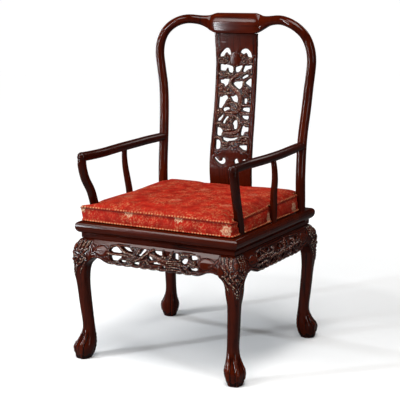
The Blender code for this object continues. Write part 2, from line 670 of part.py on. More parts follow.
def back_path():
    """Return the right half of the back's centre line and the number of the point it is split at."""
    path = smooth_path([back_point(share) for share in back_path_shares], PATH_STEPS)
    return path, POST_TOP_STEP * PATH_STEPS


def build_back_post(side, label, wood, collection, rail_cutter):
    """Make one back post, coped over the moulded edge at its foot."""
    path, split = back_path()
    along = (path[split + 1] - path[split - 1]).normalized()
    path = path[:split + 2]
    radii = [POST_FOOT_RADIUS + (POST_RADIUS - POST_FOOT_RADIUS) * min(1.0, k / split)
             for k in range(len(path))]
    path[0] = path[0] - Vector((0, 0, EDGE_ROUND_TOP))
    bm = tube("back_post", path, radii, SECTION_SIDES)
    trim(bm, path[split] - along * GAP / 2, along)
    post = add_object(f"back_post_{label}", mesh_from(mirrored(bm, side), "back_post"), wood, collection)
    cut(post, rail_cutter)
    return path, radii


def build_shoulder(side, label, wood, collection):
    """Make the bent piece from a back post to the crest rail, flared where it meets the crest."""
    path, split = back_path()
    along = (path[split + 1] - path[split - 1]).normalized()
    joint = path[split] + along * GAP / 2
    flare_start = FLARE_START_SHARE * BACK_HALF_WIDTH
    rings = []
    for k in range(split - 1, len(path)):
        centre = path[k]
        ahead = path[min(k + 1, len(path) - 1)]
        behind = path[k - 1]
        tangent = (ahead - behind).normalized()
        flare = max(0.0, (flare_start - centre.x) / (flare_start - CREST_HALF_END)) ** 2
        if k == len(path) - 1:
            tangent = Vector((-1, 0, 0))
            centre = Vector((CREST_HALF_END + GAP, centre.y, centre.z))
            flare = 1.0
        half_depth = POST_RADIUS + (CREST_END_DEPTH / 2 - POST_RADIUS) * flare
        half_height = POST_RADIUS + (CREST_END_HEIGHT / 2 - POST_RADIUS) * flare
        rings.append(section_ring(centre, tangent, half_depth, half_height, flare))
    bm = loft(rings)
    trim(bm, joint, -along)
    add_object(f"back_shoulder_{label}", mesh_from(mirrored(bm, side), "shoulder"), wood, collection)


def build_crest(wood, collection):
    """Make the bevelled block between the shoulders, half of it mirrored."""
    end = back_point(back_path_shares[-1])
    full_height = CREST_TOP - CREST_BOTTOM
    level = Vector((0, end.y, CREST_BOTTOM + full_height / 2))
    stations = [(level, CREST_DEPTH / 2, full_height / 2)]
    for along, taper in crest_taper_shares:
        place = level.lerp(end, taper)
        place.x = CREST_HALF_TOP + (CREST_HALF_END - CREST_HALF_TOP) * along
        depth = CREST_DEPTH + (CREST_END_DEPTH - CREST_DEPTH) * taper
        height = full_height + (CREST_END_HEIGHT - full_height) * taper
        stations.append((place, depth / 2, height / 2))
    rings = [section_ring(place, Vector((-1, 0, 0)), depth, height, 1.0)
             for place, depth, height in reversed(stations)]
    crest = add_object("crest_rail", mesh_from(loft(rings, closed_end=False), "crest"), wood, collection)
    mirror = crest.modifiers.new("mirror", "MIRROR")
    mirror.use_clip = True
    mirror.merge_threshold = WELD


def splat_middle(height):
    """Return how far behind the seat's middle the splat's middle lies at a height."""
    share = (height - SEAT_TOP) / (CREST_BOTTOM - SEAT_TOP)
    return SPLAT_FRONT + SPLAT_SWING * interpolate(splat_swing_shares, share)


def build_splat(wood, collection):
    """Make the S-curved splat, pierced with bats, clouds, branches and the dragon's coils."""
    low, high = SEAT_TOP + GAP, CREST_BOTTOM - GAP
    rise = high - low
    right = [(SPLAT_HALF_WIDTH * interpolate(splat_width_shares, step / SPLAT_BENDS),
              low + rise * step / SPLAT_BENDS) for step in range(SPLAT_BENDS + 1)]
    outline = right + [(-x, z) for x, z in reversed(right)]
    scrolls = [[(side * x, up) for x, up in splat_scroll_shares] for side in (1, -1)]
    holes = [[(x * SPLAT_HALF_WIDTH, low + up * rise) for x, up in hole]
             for hole in (*splat_opening_shares, *scrolls)]
    bm = board("back_splat", outline, holes, SPLAT_THICKNESS)
    bend(bm, [low + rise * step / SPLAT_BENDS for step in range(1, SPLAT_BENDS)], splat_middle)
    add_object("back_splat", mesh_from(bm, "back_splat"), wood, collection)


# Arms


def arm_rail_path(post_path):
    """Return the right arm rail's centre line, from the knuckle into the back post."""
    start = Vector((ARM_HALF_WIDTH, -ARM_FRONT, ARM_HEIGHT))
    top = ARM_HEIGHT + ARM_LIFT
    end = min(post_path, key=lambda place: abs(place.z - top))
    end = Vector((end.x, end.y, top))
    points = []
    for along, out, up in arm_rail_shares:
        place = start.lerp(end, along)
        place.x += out * ARM_BOW
        place.z = start.z + up * ARM_LIFT
        points.append(place)
    return smooth_path(points, PATH_STEPS)


def ball(centre, radius):
    """Return a ball for the round end of an arm rail."""
    bm = bmesh.new()
    bmesh.ops.create_uvsphere(bm, u_segments=TUBE_SIDES, v_segments=TUBE_SIDES // 2 + 1, radius=radius)
    bmesh.ops.translate(bm, verts=bm.verts, vec=centre)
    return bm


def cut_tube(name, path, radii, side, cutters):
    """Return a cutter that follows a bar, a clearance wider than it."""
    return add_cutter(name, mirrored(tube(name, path, radii, SECTION_SIDES), side), cutters)


def build_arm(side, label, wood, collection, cutters, back_post, rail_cutter):
    """Make one arm: its rail, the front post under its knuckle and the slender side post."""
    post_path, post_radii = back_post
    path = arm_rail_path(post_path)
    rail_bm = mirrored(tube("arm_rail", path, [ARM_RADIUS] * len(path)), side)
    rail = add_object(f"arm_rail_{label}", mesh_from(rail_bm, "arm_rail"), wood, collection)
    end = Vector((side * path[0].x, path[0].y, path[0].z))
    knuckle = rail.modifiers.new("knuckle", "BOOLEAN")
    knuckle.operation = "UNION"
    knuckle.solver = "EXACT"
    knuckle.object = add_cutter(f"knuckle_{label}", ball(end, KNUCKLE_RADIUS), cutters)
    # the rail is coped to the back post, and the arm's posts are coped to the rail
    wider = [radius + GAP for radius in post_radii]
    cut(rail, cut_tube(f"cutter_post_{label}", post_path, wider, side, cutters))
    under_rail = cut_tube(f"cutter_arm_{label}", path, [ARM_RADIUS + GAP] * len(path), side, cutters)
    under_knuckle = add_cutter(f"cutter_knuckle_{label}", ball(end, KNUCKLE_RADIUS + GAP), cutters)

    front_path = smooth_path([
        Vector((ARM_HALF_WIDTH - FRONT_POST_INSET * (1 - out),
                -FRONT_POST_FOOT - (ARM_FRONT - FRONT_POST_FOOT) * forward,
                SEAT_TOP + ARM_RISE * up)) for out, forward, up in front_post_shares], PATH_STEPS)
    front_path[0] = front_path[0] - Vector((0, 0, EDGE_ROUND_TOP))
    front_radii = [FRONT_POST_RADIUS] * len(front_path)
    front_bm = mirrored(tube("front_post", front_path, front_radii), side)
    front = add_object(f"arm_front_post_{label}", mesh_from(front_bm, "front_post"), wood, collection)
    for cutter in (under_rail, under_knuckle, rail_cutter):
        cut(front, cutter)

    carried = min(path, key=lambda place: abs(place.y + SIDE_POST_LEAN - SIDE_POST_PLACE))
    side_path = smooth_path([
        Vector((SIDE_POST_HALF_WIDTH + SIDE_POST_BULGE * out,
                SIDE_POST_PLACE - SIDE_POST_LEAN * forward,
                SEAT_TOP + (carried.z - SEAT_TOP) * up)) for out, forward, up, _ in side_post_shares],
        PATH_STEPS)
    side_path[0] = side_path[0] - Vector((0, 0, EDGE_ROUND_TOP))
    thickness = [(k * PATH_STEPS, row[3]) for k, row in enumerate(side_post_shares)]
    side_radii = [SIDE_POST_RADIUS * interpolate(thickness, k) for k in range(len(side_path))]
    slender_bm = mirrored(tube("side_post", side_path, side_radii), side)
    slender = add_object(f"arm_side_post_{label}", mesh_from(slender_bm, "side_post"), wood, collection)
    for cutter in (under_rail, rail_cutter):
        cut(slender, cutter)
    return (front_path, front_radii), (side_path, side_radii)


# Cushion


def cushion_ring(inset, height):
    """Return the cushion's outline, drawn in by an inset, at a height that grows backwards."""
    half_width = CUSHION_HALF_WIDTH - inset
    front, back = -CUSHION_FRONT + inset, CUSHION_BACK - inset
    corner = min(CUSHION_CORNER, half_width / 2)
    corners = ((half_width, front + corner), (half_width, back - corner),
               (half_width - corner, back), (-half_width + corner, back),
               (-half_width, back - corner), (-half_width, front + corner),
               (-half_width + corner, front), (half_width - corner, front))
    ring = []
    for k, start in enumerate(corners):
        following = corners[(k + 1) % len(corners)]
        for along in cushion_edge_shares if k % 2 == 0 else (0.0,):
            place = Vector(start).lerp(Vector(following), along)
            lift = CUSHION_BACK_LIFT * (place.y + CUSHION_FRONT) / (CUSHION_BACK + CUSHION_FRONT)
            ring.append((place.x, place.y, SEAT_TOP + GAP + height * (CUSHION_EDGE + lift) / CUSHION_EDGE))
    return ring


def build_cushion(fabric, collection, cutters, bars):
    """Make the piped box cushion, crowned, cut round the posts and in front of the splat."""
    rings = [cushion_ring(inset * PIPING, height * CUSHION_EDGE) for inset, height in cushion_side_shares]
    half_depth = (CUSHION_FRONT + CUSHION_BACK) / 2
    rings += [cushion_ring(inset * half_depth, CUSHION_EDGE + rise * CUSHION_CROWN)
              for inset, rise in cushion_crown_shares]
    cushion = add_object("seat_cushion", mesh_from(loft(rings), "cushion"), fabric, collection)
    soften = cushion.modifiers.new("soften", "SUBSURF")
    soften.levels = 1
    soften.render_levels = 1
    for number, (path, radii) in enumerate(bars):
        for side in (1, -1):
            wider = [radius + CUSHION_CLEARANCE for radius in radii]
            notch = mirrored(tube("notch", path, wider), side)
            cut(cushion, add_cutter(f"cutter_notch_{number}_{side}", notch, cutters))
    # the back corners are cut square round the back posts, and the middle in front of the splat
    low, high = SEAT_TOP - OVERRUN, SEAT_TOP + CUSHION_EDGE + CUSHION_CROWN + OVERRUN
    post = back_point(back_path_shares[0])
    clear = POST_FOOT_RADIUS + CUSHION_CLEARANCE
    rear = CUSHION_BACK + OVERRUN
    for side in (1, -1):
        ends = sorted((side * (post.x - clear), side * (SEAT_HALF_WIDTH + OVERRUN)))
        corner = box((ends[0], post.y - clear, low), (ends[1], rear, high))
        cut(cushion, add_cutter(f"cutter_corner_{side}", corner, cutters))
    widest = max(width for _, width in splat_width_shares) * SPLAT_HALF_WIDTH + CUSHION_CLEARANCE
    front = SPLAT_FRONT - SPLAT_THICKNESS / 2 - CUSHION_CLEARANCE
    slot = box((-widest, front, low), (widest, rear, high))
    cut(cushion, add_cutter("cutter_splat_slot", slot, cutters))


def main():
    """Build the armchair."""
    for obj in list(bpy.data.objects):
        bpy.data.objects.remove(obj)
    collection = bpy.data.collections.new("carved_dragon_armchair")
    cutters = bpy.data.collections.new("cutters")
    bpy.context.scene.collection.children.link(collection)
    bpy.context.scene.collection.children.link(cutters)
    wood = make_material("rosewood", (0.105, 0.018, 0.010), 0.28)
    fabric = make_material("brocade", (0.52, 0.035, 0.022), 0.65)

    rail_cutters = build_seat(wood, collection, cutters)
    for label, across in (("left", -1), ("right", 1)):
        build_leg(f"leg_front_{label}", across, -1, wood, collection)
        build_leg(f"leg_back_{label}", across, 1, wood, collection)
    build_apron("apron_front", 0, front_opening_shares, wood, collection)
    build_apron("apron_right", 1, side_opening_shares, wood, collection)
    build_apron("apron_back", 2, (), wood, collection)
    mirrored_openings = [[(-x, drop) for x, drop in hole] for hole in side_opening_shares]
    build_apron("apron_left", 3, mirrored_openings, wood, collection)

    build_crest(wood, collection)
    build_splat(wood, collection)
    for label, side in (("left", -1), ("right", 1)):
        rail_cutter = rail_cutters[label]
        back_post = build_back_post(side, label, wood, collection, rail_cutter)
        build_shoulder(side, label, wood, collection)
        bars = build_arm(side, label, wood, collection, cutters, back_post, rail_cutter)
    build_cushion(fabric, collection, cutters, bars)


if __name__ == "__main__":
    main()
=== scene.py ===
"""Dress the carved dragon armchair: polished rosewood with its carving, and the brocade cushion.

Metres, +Z up, the front faces -Y. Left and right are as seen from the front.
"""
import math

import bmesh
import bpy
import numpy as np
from bpy.props import FloatProperty, FloatVectorProperty, IntProperty, PointerProperty
from mathutils import Matrix, Vector, kdtree


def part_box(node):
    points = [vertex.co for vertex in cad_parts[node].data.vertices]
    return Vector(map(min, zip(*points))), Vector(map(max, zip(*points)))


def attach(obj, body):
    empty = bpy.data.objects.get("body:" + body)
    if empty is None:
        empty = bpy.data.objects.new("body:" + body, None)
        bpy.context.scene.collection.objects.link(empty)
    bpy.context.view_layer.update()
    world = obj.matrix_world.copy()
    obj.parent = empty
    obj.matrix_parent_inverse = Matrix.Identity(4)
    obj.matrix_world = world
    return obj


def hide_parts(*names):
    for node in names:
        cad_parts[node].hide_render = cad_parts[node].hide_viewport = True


bl_info = {
    "name": "Carved dragon armchair",
    "version": (1, 0, 0),
    "blender": (4, 5, 0),
    "location": "3D View > Sidebar > Armchair",
    "description": "Dresses the armchair's frame with carving, polish and a brocade cushion",
    "category": "Object",
}

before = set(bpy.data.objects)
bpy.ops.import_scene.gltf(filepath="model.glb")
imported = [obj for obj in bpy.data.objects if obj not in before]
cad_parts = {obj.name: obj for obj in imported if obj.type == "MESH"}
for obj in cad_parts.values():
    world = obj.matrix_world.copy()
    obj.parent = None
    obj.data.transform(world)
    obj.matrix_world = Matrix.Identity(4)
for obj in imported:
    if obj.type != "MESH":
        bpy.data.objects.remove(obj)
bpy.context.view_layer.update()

# Places taken from the frame
SEAT_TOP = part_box("seat_rail_front")[1].z
APRON_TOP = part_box("apron_front")[1].z
WAIST_HALF_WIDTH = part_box("waist_right")[1].x
WAIST_HALF_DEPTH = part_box("waist_back")[1].y
CREST_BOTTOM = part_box("back_splat")[1].z

# Sizes that the frame shares
LEG_BLOCK = 0.0475
APRON_DEPTH = 0.070
APRON_THICKNESS = 0.016
APRON_SCALLOP = 0.0035
SCALLOPS = 9
SPLAT_THICKNESS = 0.012
SPLAT_SWING = 0.0445
SPLAT_FRONT = 0.2108
SPLAT_HALF_WIDTH = 0.0725
BACK_HALF_WIDTH = 0.276
BACK_SETBACK = 0.206
BACK_RAKE = 0.0445
BACK_RISE = 0.5946
POST_RADIUS = 0.0150
POST_FOOT_RADIUS = 0.0157
ARM_RADIUS = 0.0140
KNUCKLE_RADIUS = 0.0147
FRONT_POST_RADIUS = 0.0135
SIDE_POST_RADIUS = 0.0105
ARM_RISE = 0.196
ARM_HALF_WIDTH = 0.257
ARM_FRONT = 0.252
ARM_BOW = 0.0060
ARM_LIFT = 0.009
FRONT_POST_FOOT = 0.199
FRONT_POST_INSET = 0.008
SIDE_POST_HALF_WIDTH = 0.258
SIDE_POST_PLACE = 0.004
SIDE_POST_LEAN = 0.017
SIDE_POST_BULGE = 0.0085
TENON = 0.010
SIDE_HEIGHT = 0.0455
SIDE_RISE = 0.010
LOWER_SEAM = 0.10
UPPER_SEAM = 0.95

# Carving: the groove beside a form, in millimetres
GROOVE_WIDTH = 1.7
GROOVE_DEPTH = 1.3
# Carving: the heights that the finish tells apart, overall and beside each point, and the least that counts
HEIGHT_RANGE = 0.024
EDGE_RANGE = 0.0018
EDGE_LEAST = 0.0003
# Carving: the edges of the openings outside the carved field, and the chisel's marks on the ground
PLAIN_ROUNDING = 0.0014
PLAIN_SINK = 0.0009
CHIP_HEIGHT = 0.0005
GROUND_SINK = 0.0007
# Carving: the splat's plain disc, and where the carved fields end, each with the width of its fade
DISC_ACROSS = -0.003
DISC_UP = 0.850
DISC_RIM = (0.013, 0.007)
SPLAT_FIELD_SIDE = (0.85, 0.03)
SPLAT_FIELD_FOOT = (0.305, 0.05)
SPLAT_FIELD_HEAD = (0.882, 0.02)
APRON_FIELD_SIDE = (0.735, 0.02)
APRON_FIELD_TOP = (0.11, 0.05)
# How far the ends of the aprons and the inner faces of the legs are let in, so that the joints close
APRON_END = 0.006
APRON_LET_IN = 0.0022
LEG_LET_IN = 0.002
# Feet: how far the toes stand out, and how far the ball, the cuts beside the toes and the nails' ends sink
TOE_HEIGHT = 0.0021
BALL_SINK = 0.0010
TOE_CUT = 0.0012
NAIL_SINK = 0.0018
# Cushion: where the pushed corner begins with its fade, the pinch at a seam and the shade under it
CORNER_START = (-0.205, 0.035)
PINCH = 0.0012
PINCH_WIDTH = 0.0035
SHADE_DROP = 0.0036
SHADE_WIDTH = 0.0022

# Stage: its size, the camera's place and shift, and the colours of the lamps
STAGE_RADIUS = 12.0
BACKDROP_HEIGHT = 4.0
CAMERA_PLACE = (1.674, -2.927, 1.117)
CAMERA_SHIFT = (-0.0825, 0.0175)
SENSOR_WIDTH = 36.0
WARM = (1.0, 0.985, 0.965)
COOL = (0.88, 0.94, 1.0)
# Lamps: name, place, height that it looks at, size, its power setting, the share of it, and colour
lamps = (
    ("top_lamp", (0.5, -0.9, 3.1), 0.3, (1.5, 1.5), "top_power", 1.0, WARM),
    ("key_lamp", (-1.5, -2.3, 2.7), 0.45, (1.4, 1.0), "key_power", 1.0, WARM),
    ("front_strip", (-2.0, -2.6, 1.0), 0.7, (0.07, 1.9), "strip_power", 1.6, COOL),
    ("left_strip", (-2.7, 0.4, 1.0), 0.7, (0.10, 1.9), "strip_power", 1.0, COOL),
    ("right_strip", (2.8, -1.3, 1.1), 0.6, (0.08, 1.9), "strip_power", 0.45, COOL),
    ("back_lamp", (0.9, 2.6, 2.6), 0.7, (1.2, 0.8), "strip_power", 0.35, WARM),
)

SIDES = (("left", -1), ("right", 1))
QUARTERS = (("front", 0), ("right", 1), ("back", 2), ("left", 3))

# Centre line of the right half of the back: across, back and up
back_path_shares = (
    (0.922, 0.00, 0.000), (0.922, 0.00, 0.060), (0.920, 0.00, 0.200), (0.922, 0.21, 0.380),
    (0.943, 0.51, 0.537), (0.962, 0.61, 0.645), (0.990, 0.60, 0.745), (1.000, 0.54, 0.806),
    (0.980, 0.48, 0.866), (0.925, 0.44, 0.920), (0.835, 0.39, 0.960), (0.725, 0.40, 0.987),
    (0.610, 0.51, 1.000), (0.500, 0.70, 0.997), (0.410, 0.86, 0.990), (0.3188, 1.00, 0.981),
)
POST_TOP_STEP = 5
PATH_STEPS = 8

# Arm rail from the knuckle to the back post: along, out and up
arm_rail_shares = (
    (0.00, 0.0, 0.00), (0.11, -0.75, 0.02), (0.22, -0.90, 0.09), (0.33, -0.20, 0.19), (0.43, 0.45, 0.29),
    (0.55, 0.80, 0.42), (0.67, 0.85, 0.58), (0.78, 0.65, 0.80), (0.89, 0.25, 0.92), (1.00, 0.0, 1.00),
)
# Arm front post from its foot: out, forward and up
front_post_shares = (
    (0.00, 0.00, 0.00), (0.00, 0.00, 0.08), (0.02, 0.12, 0.24), (0.22, 0.38, 0.45), (0.95, 0.76, 0.66),
    (1.15, 0.97, 0.86), (1.00, 1.00, 1.00),
)
# Arm side post from its foot: out, forward, up and thickness
side_post_shares = (
    (0.00, 0.00, 0.00, 0.95), (0.00, 0.00, 0.10, 1.00), (0.00, 0.02, 0.26, 1.05), (0.38, 0.34, 0.46, 1.00),
    (0.93, 0.56, 0.66, 0.92), (0.95, 0.80, 0.84, 0.84), (0.50, 1.00, 1.00, 0.78),
)
# How far the middle of the splat swings back along its height
splat_swing_shares = (
    (0.00, 0.17), (0.11, 0.08), (0.20, 0.00), (0.30, 0.10), (0.40, 0.31), (0.50, 0.52), (0.60, 0.72),
    (0.70, 0.86), (0.78, 0.96), (0.86, 1.00), (0.93, 0.96), (1.00, 0.90),
)
# How far an apron's face stands out of the waist, by height as a share of the apron's top
apron_swell_shares = ((0.842, 0.442), (0.878, 0.434), (0.930, 0.360), (0.968, 0.204), (1.000, 0.024))

# Half width of the splat along its height
splat_width_shares = ((0.00, 1.03), (0.25, 1.055), (0.50, 1.025), (0.70, 1.01), (0.85, 1.02), (1.00, 1.065))

# Openings of the splat as the eye sees them at a slant: across the half width and up the height
splat_openings = (
    ((-0.79, 0.860), (-0.78, 0.871), (-0.73, 0.883), (-0.65, 0.894), (-0.58, 0.904), (-0.49, 0.912),
     (-0.39, 0.914), (-0.33, 0.908), (-0.29, 0.899), (-0.26, 0.887), (-0.25, 0.877), (-0.31, 0.872),
     (-0.37, 0.875), (-0.40, 0.881), (-0.47, 0.889), (-0.53, 0.883), (-0.57, 0.875), (-0.60, 0.866),
     (-0.69, 0.864)),
    ((0.25, 0.888), (0.26, 0.894), (0.32, 0.904), (0.41, 0.910), (0.49, 0.912), (0.58, 0.910),
     (0.66, 0.903), (0.72, 0.894), (0.76, 0.885), (0.78, 0.874), (0.79, 0.861), (0.68, 0.862),
     (0.61, 0.865), (0.60, 0.872), (0.56, 0.881), (0.50, 0.889), (0.46, 0.887), (0.43, 0.881),
     (0.37, 0.879)),
    ((-0.76, 0.815), (-0.68, 0.817), (-0.60, 0.813), (-0.50, 0.816), (-0.39, 0.814), (-0.29, 0.810),
     (-0.19, 0.806), (-0.14, 0.800), (-0.13, 0.785), (-0.14, 0.774), (-0.19, 0.767), (-0.27, 0.770),
     (-0.33, 0.774), (-0.35, 0.785), (-0.37, 0.798), (-0.40, 0.803), (-0.44, 0.799), (-0.48, 0.790),
     (-0.53, 0.780), (-0.61, 0.779), (-0.69, 0.780), (-0.75, 0.781)),
    ((0.01, 0.800), (0.07, 0.804), (0.16, 0.808), (0.26, 0.812), (0.33, 0.813), (0.30, 0.804), (0.24, 0.792),
     (0.19, 0.781), (0.12, 0.774), (0.04, 0.772), (0.01, 0.780)),
    ((0.47, 0.811), (0.56, 0.812), (0.66, 0.812), (0.75, 0.817), (0.79, 0.813), (0.77, 0.804), (0.73, 0.796),
     (0.64, 0.794), (0.56, 0.789), (0.50, 0.782), (0.45, 0.775), (0.40, 0.776), (0.40, 0.784),
     (0.43, 0.795)),
    ((0.32, 0.737), (0.39, 0.745), (0.45, 0.752), (0.53, 0.758), (0.61, 0.761), (0.62, 0.755), (0.59, 0.749),
     (0.51, 0.744), (0.44, 0.740), (0.38, 0.736)),
    ((-0.74, 0.725), (-0.66, 0.725), (-0.58, 0.727), (-0.55, 0.732), (-0.45, 0.730), (-0.35, 0.732),
     (-0.28, 0.732), (-0.32, 0.721), (-0.35, 0.707), (-0.38, 0.699), (-0.44, 0.695), (-0.48, 0.684),
     (-0.50, 0.686), (-0.53, 0.696), (-0.58, 0.702), (-0.65, 0.705), (-0.72, 0.707)),
    ((-0.07, 0.707), (-0.01, 0.714), (0.09, 0.718), (0.21, 0.718), (0.31, 0.722), (0.35, 0.719),
     (0.35, 0.705),
     (0.37, 0.695), (0.31, 0.687), (0.24, 0.677), (0.19, 0.675), (0.12, 0.681), (0.04, 0.689),
     (-0.03, 0.697)),
    ((0.54, 0.713), (0.62, 0.724), (0.69, 0.732), (0.77, 0.740), (0.79, 0.737), (0.79, 0.718), (0.79, 0.696),
     (0.78, 0.687), (0.72, 0.694), (0.66, 0.700), (0.58, 0.705)),
    ((-0.73, 0.625), (-0.65, 0.624), (-0.59, 0.628), (-0.52, 0.633), (-0.44, 0.636), (-0.39, 0.632),
     (-0.35, 0.621), (-0.37, 0.614), (-0.43, 0.608), (-0.48, 0.597), (-0.50, 0.587), (-0.56, 0.577),
     (-0.60, 0.570), (-0.63, 0.561), (-0.71, 0.559), (-0.75, 0.561), (-0.74, 0.590)),
    ((-0.19, 0.633), (-0.10, 0.629), (-0.01, 0.634), (0.06, 0.641), (0.10, 0.635), (0.15, 0.623),
     (0.16, 0.609),
     (0.14, 0.594), (0.09, 0.598), (0.00, 0.599), (-0.05, 0.605), (-0.10, 0.614), (-0.15, 0.624)),
    ((0.53, 0.620), (0.58, 0.623), (0.62, 0.620), (0.63, 0.607), (0.61, 0.593), (0.56, 0.590),
     (0.53, 0.597)),
    ((-0.51, 0.552), (-0.48, 0.560), (-0.40, 0.564), (-0.31, 0.566), (-0.23, 0.563), (-0.22, 0.557),
     (-0.28, 0.553), (-0.36, 0.551), (-0.40, 0.547), (-0.45, 0.540), (-0.49, 0.543)),
    ((0.48, 0.562), (0.54, 0.567), (0.64, 0.569), (0.78, 0.569), (0.79, 0.556), (0.78, 0.544), (0.68, 0.545),
     (0.59, 0.548), (0.50, 0.551), (0.46, 0.556)),
    ((-0.56, 0.518), (-0.52, 0.520), (-0.53, 0.512), (-0.58, 0.501), (-0.63, 0.490), (-0.71, 0.484),
     (-0.75, 0.484), (-0.73, 0.494), (-0.67, 0.502), (-0.61, 0.508)),
    ((-0.21, 0.517), (-0.27, 0.515), (-0.33, 0.509), (-0.37, 0.501), (-0.42, 0.492), (-0.46, 0.483),
     (-0.48, 0.471), (-0.43, 0.469), (-0.39, 0.476), (-0.37, 0.484), (-0.34, 0.494), (-0.27, 0.505)),
    ((0.16, 0.495), (0.20, 0.488), (0.22, 0.476), (0.22, 0.460), (0.21, 0.445), (0.15, 0.440), (0.10, 0.442),
     (0.09, 0.454), (0.07, 0.465), (0.02, 0.469), (0.05, 0.479), (0.10, 0.489)),
    ((0.46, 0.521), (0.58, 0.521), (0.75, 0.522), (0.76, 0.512), (0.74, 0.501), (0.66, 0.500), (0.58, 0.502),
     (0.51, 0.508)),
    ((0.56, 0.467), (0.60, 0.456), (0.68, 0.455), (0.79, 0.456), (0.79, 0.441), (0.78, 0.430), (0.66, 0.430),
     (0.60, 0.425), (0.57, 0.413), (0.55, 0.406), (0.48, 0.407), (0.48, 0.419), (0.50, 0.439),
     (0.53, 0.456)),
    ((-0.74, 0.447), (-0.66, 0.445), (-0.59, 0.439), (-0.52, 0.432), (-0.49, 0.422), (-0.52, 0.409),
     (-0.57, 0.398), (-0.69, 0.396), (-0.73, 0.402), (-0.73, 0.425)),
    ((-0.43, 0.388), (-0.35, 0.387), (-0.22, 0.385), (-0.05, 0.384), (0.09, 0.386), (0.20, 0.390),
     (0.30, 0.394),
     (0.32, 0.391), (0.24, 0.386), (0.17, 0.380), (0.09, 0.375), (-0.05, 0.372), (-0.16, 0.370),
     (-0.22, 0.363),
     (-0.31, 0.369), (-0.39, 0.375)),
    ((-0.75, 0.369), (-0.69, 0.374), (-0.62, 0.370), (-0.57, 0.359), (-0.55, 0.341), (-0.55, 0.328),
     (-0.60, 0.321), (-0.69, 0.318), (-0.74, 0.316), (-0.74, 0.349)),
    ((0.40, 0.342), (0.47, 0.347), (0.60, 0.349), (0.78, 0.351), (0.79, 0.338), (0.79, 0.321), (0.68, 0.322),
     (0.61, 0.324), (0.54, 0.331), (0.47, 0.337)),
)
# The scroll at the foot of the carving, cut once at each side
splat_scroll = ((-0.80, 0.268), (-0.74, 0.270), (-0.68, 0.263), (-0.61, 0.254), (-0.53, 0.247),
                (-0.44, 0.249),
                (-0.39, 0.255), (-0.37, 0.265), (-0.35, 0.270), (-0.30, 0.268), (-0.25, 0.260),
                (-0.24, 0.250),
                (-0.27, 0.240), (-0.37, 0.232), (-0.48, 0.231), (-0.58, 0.238), (-0.67, 0.248),
                (-0.75, 0.259))

# Lower edge of an apron at one end, from the leg inwards: place along the half length and drop
apron_edge_shares = ((1.000, 0.83), (0.960, 0.785), (0.910, 0.765), (0.850, 0.80), (0.780, 0.90),
                     (0.715, 0.97), (0.660, 0.985))
# Openings of the front apron as the eye sees them: along the half length and drop
apron_front_openings = (
    ((-0.68, 0.40), (-0.66, 0.28), (-0.60, 0.20), (-0.57, 0.25), (-0.53, 0.33), (-0.49, 0.42), (-0.57, 0.46),
     (-0.66, 0.46)),
    ((-0.50, 0.19), (-0.45, 0.18), (-0.40, 0.19), (-0.38, 0.23), (-0.36, 0.29), (-0.32, 0.34), (-0.37, 0.35),
     (-0.42, 0.33), (-0.46, 0.27)),
    ((-0.24, 0.46), (-0.20, 0.41), (-0.18, 0.31), (-0.16, 0.20), (-0.14, 0.16), (-0.12, 0.19), (-0.14, 0.27),
     (-0.17, 0.36), (-0.19, 0.44), (-0.22, 0.48)),
    ((-0.67, 0.58), (-0.58, 0.57), (-0.49, 0.57), (-0.53, 0.66), (-0.56, 0.75), (-0.60, 0.80), (-0.65, 0.80),
     (-0.66, 0.68)),
    ((-0.51, 0.77), (-0.47, 0.73), (-0.41, 0.71), (-0.43, 0.77), (-0.47, 0.82), (-0.50, 0.83)),
    ((-0.31, 0.83), (-0.27, 0.77), (-0.24, 0.73), (-0.21, 0.73), (-0.22, 0.81), (-0.24, 0.86)),
    ((-0.06, 0.49), (-0.04, 0.41), (-0.02, 0.42), (-0.01, 0.50), (0.00, 0.57), (-0.03, 0.59)),
    ((0.01, 0.22), (0.03, 0.18), (0.12, 0.17), (0.13, 0.26), (0.14, 0.34), (0.09, 0.35), (0.05, 0.31)),
    ((-0.01, 0.73), (0.02, 0.68), (0.05, 0.64), (0.08, 0.60), (0.11, 0.66), (0.14, 0.66), (0.12, 0.72),
     (0.06, 0.73)),
    ((0.18, 0.18), (0.24, 0.17), (0.25, 0.24), (0.23, 0.32), (0.19, 0.31)),
    ((0.32, 0.38), (0.34, 0.23), (0.35, 0.17), (0.38, 0.19), (0.39, 0.30), (0.40, 0.38), (0.38, 0.44)),
    ((0.17, 0.84), (0.19, 0.74), (0.23, 0.76), (0.22, 0.84)),
    ((0.46, 0.50), (0.50, 0.34), (0.54, 0.32), (0.55, 0.42), (0.52, 0.54), (0.48, 0.58)),
    ((0.59, 0.20), (0.64, 0.18), (0.67, 0.20), (0.69, 0.26), (0.68, 0.31), (0.66, 0.34), (0.61, 0.37)),
    ((0.60, 0.66), (0.64, 0.70), (0.67, 0.66), (0.70, 0.65), (0.71, 0.70), (0.69, 0.76), (0.65, 0.80),
     (0.61, 0.78)),
)
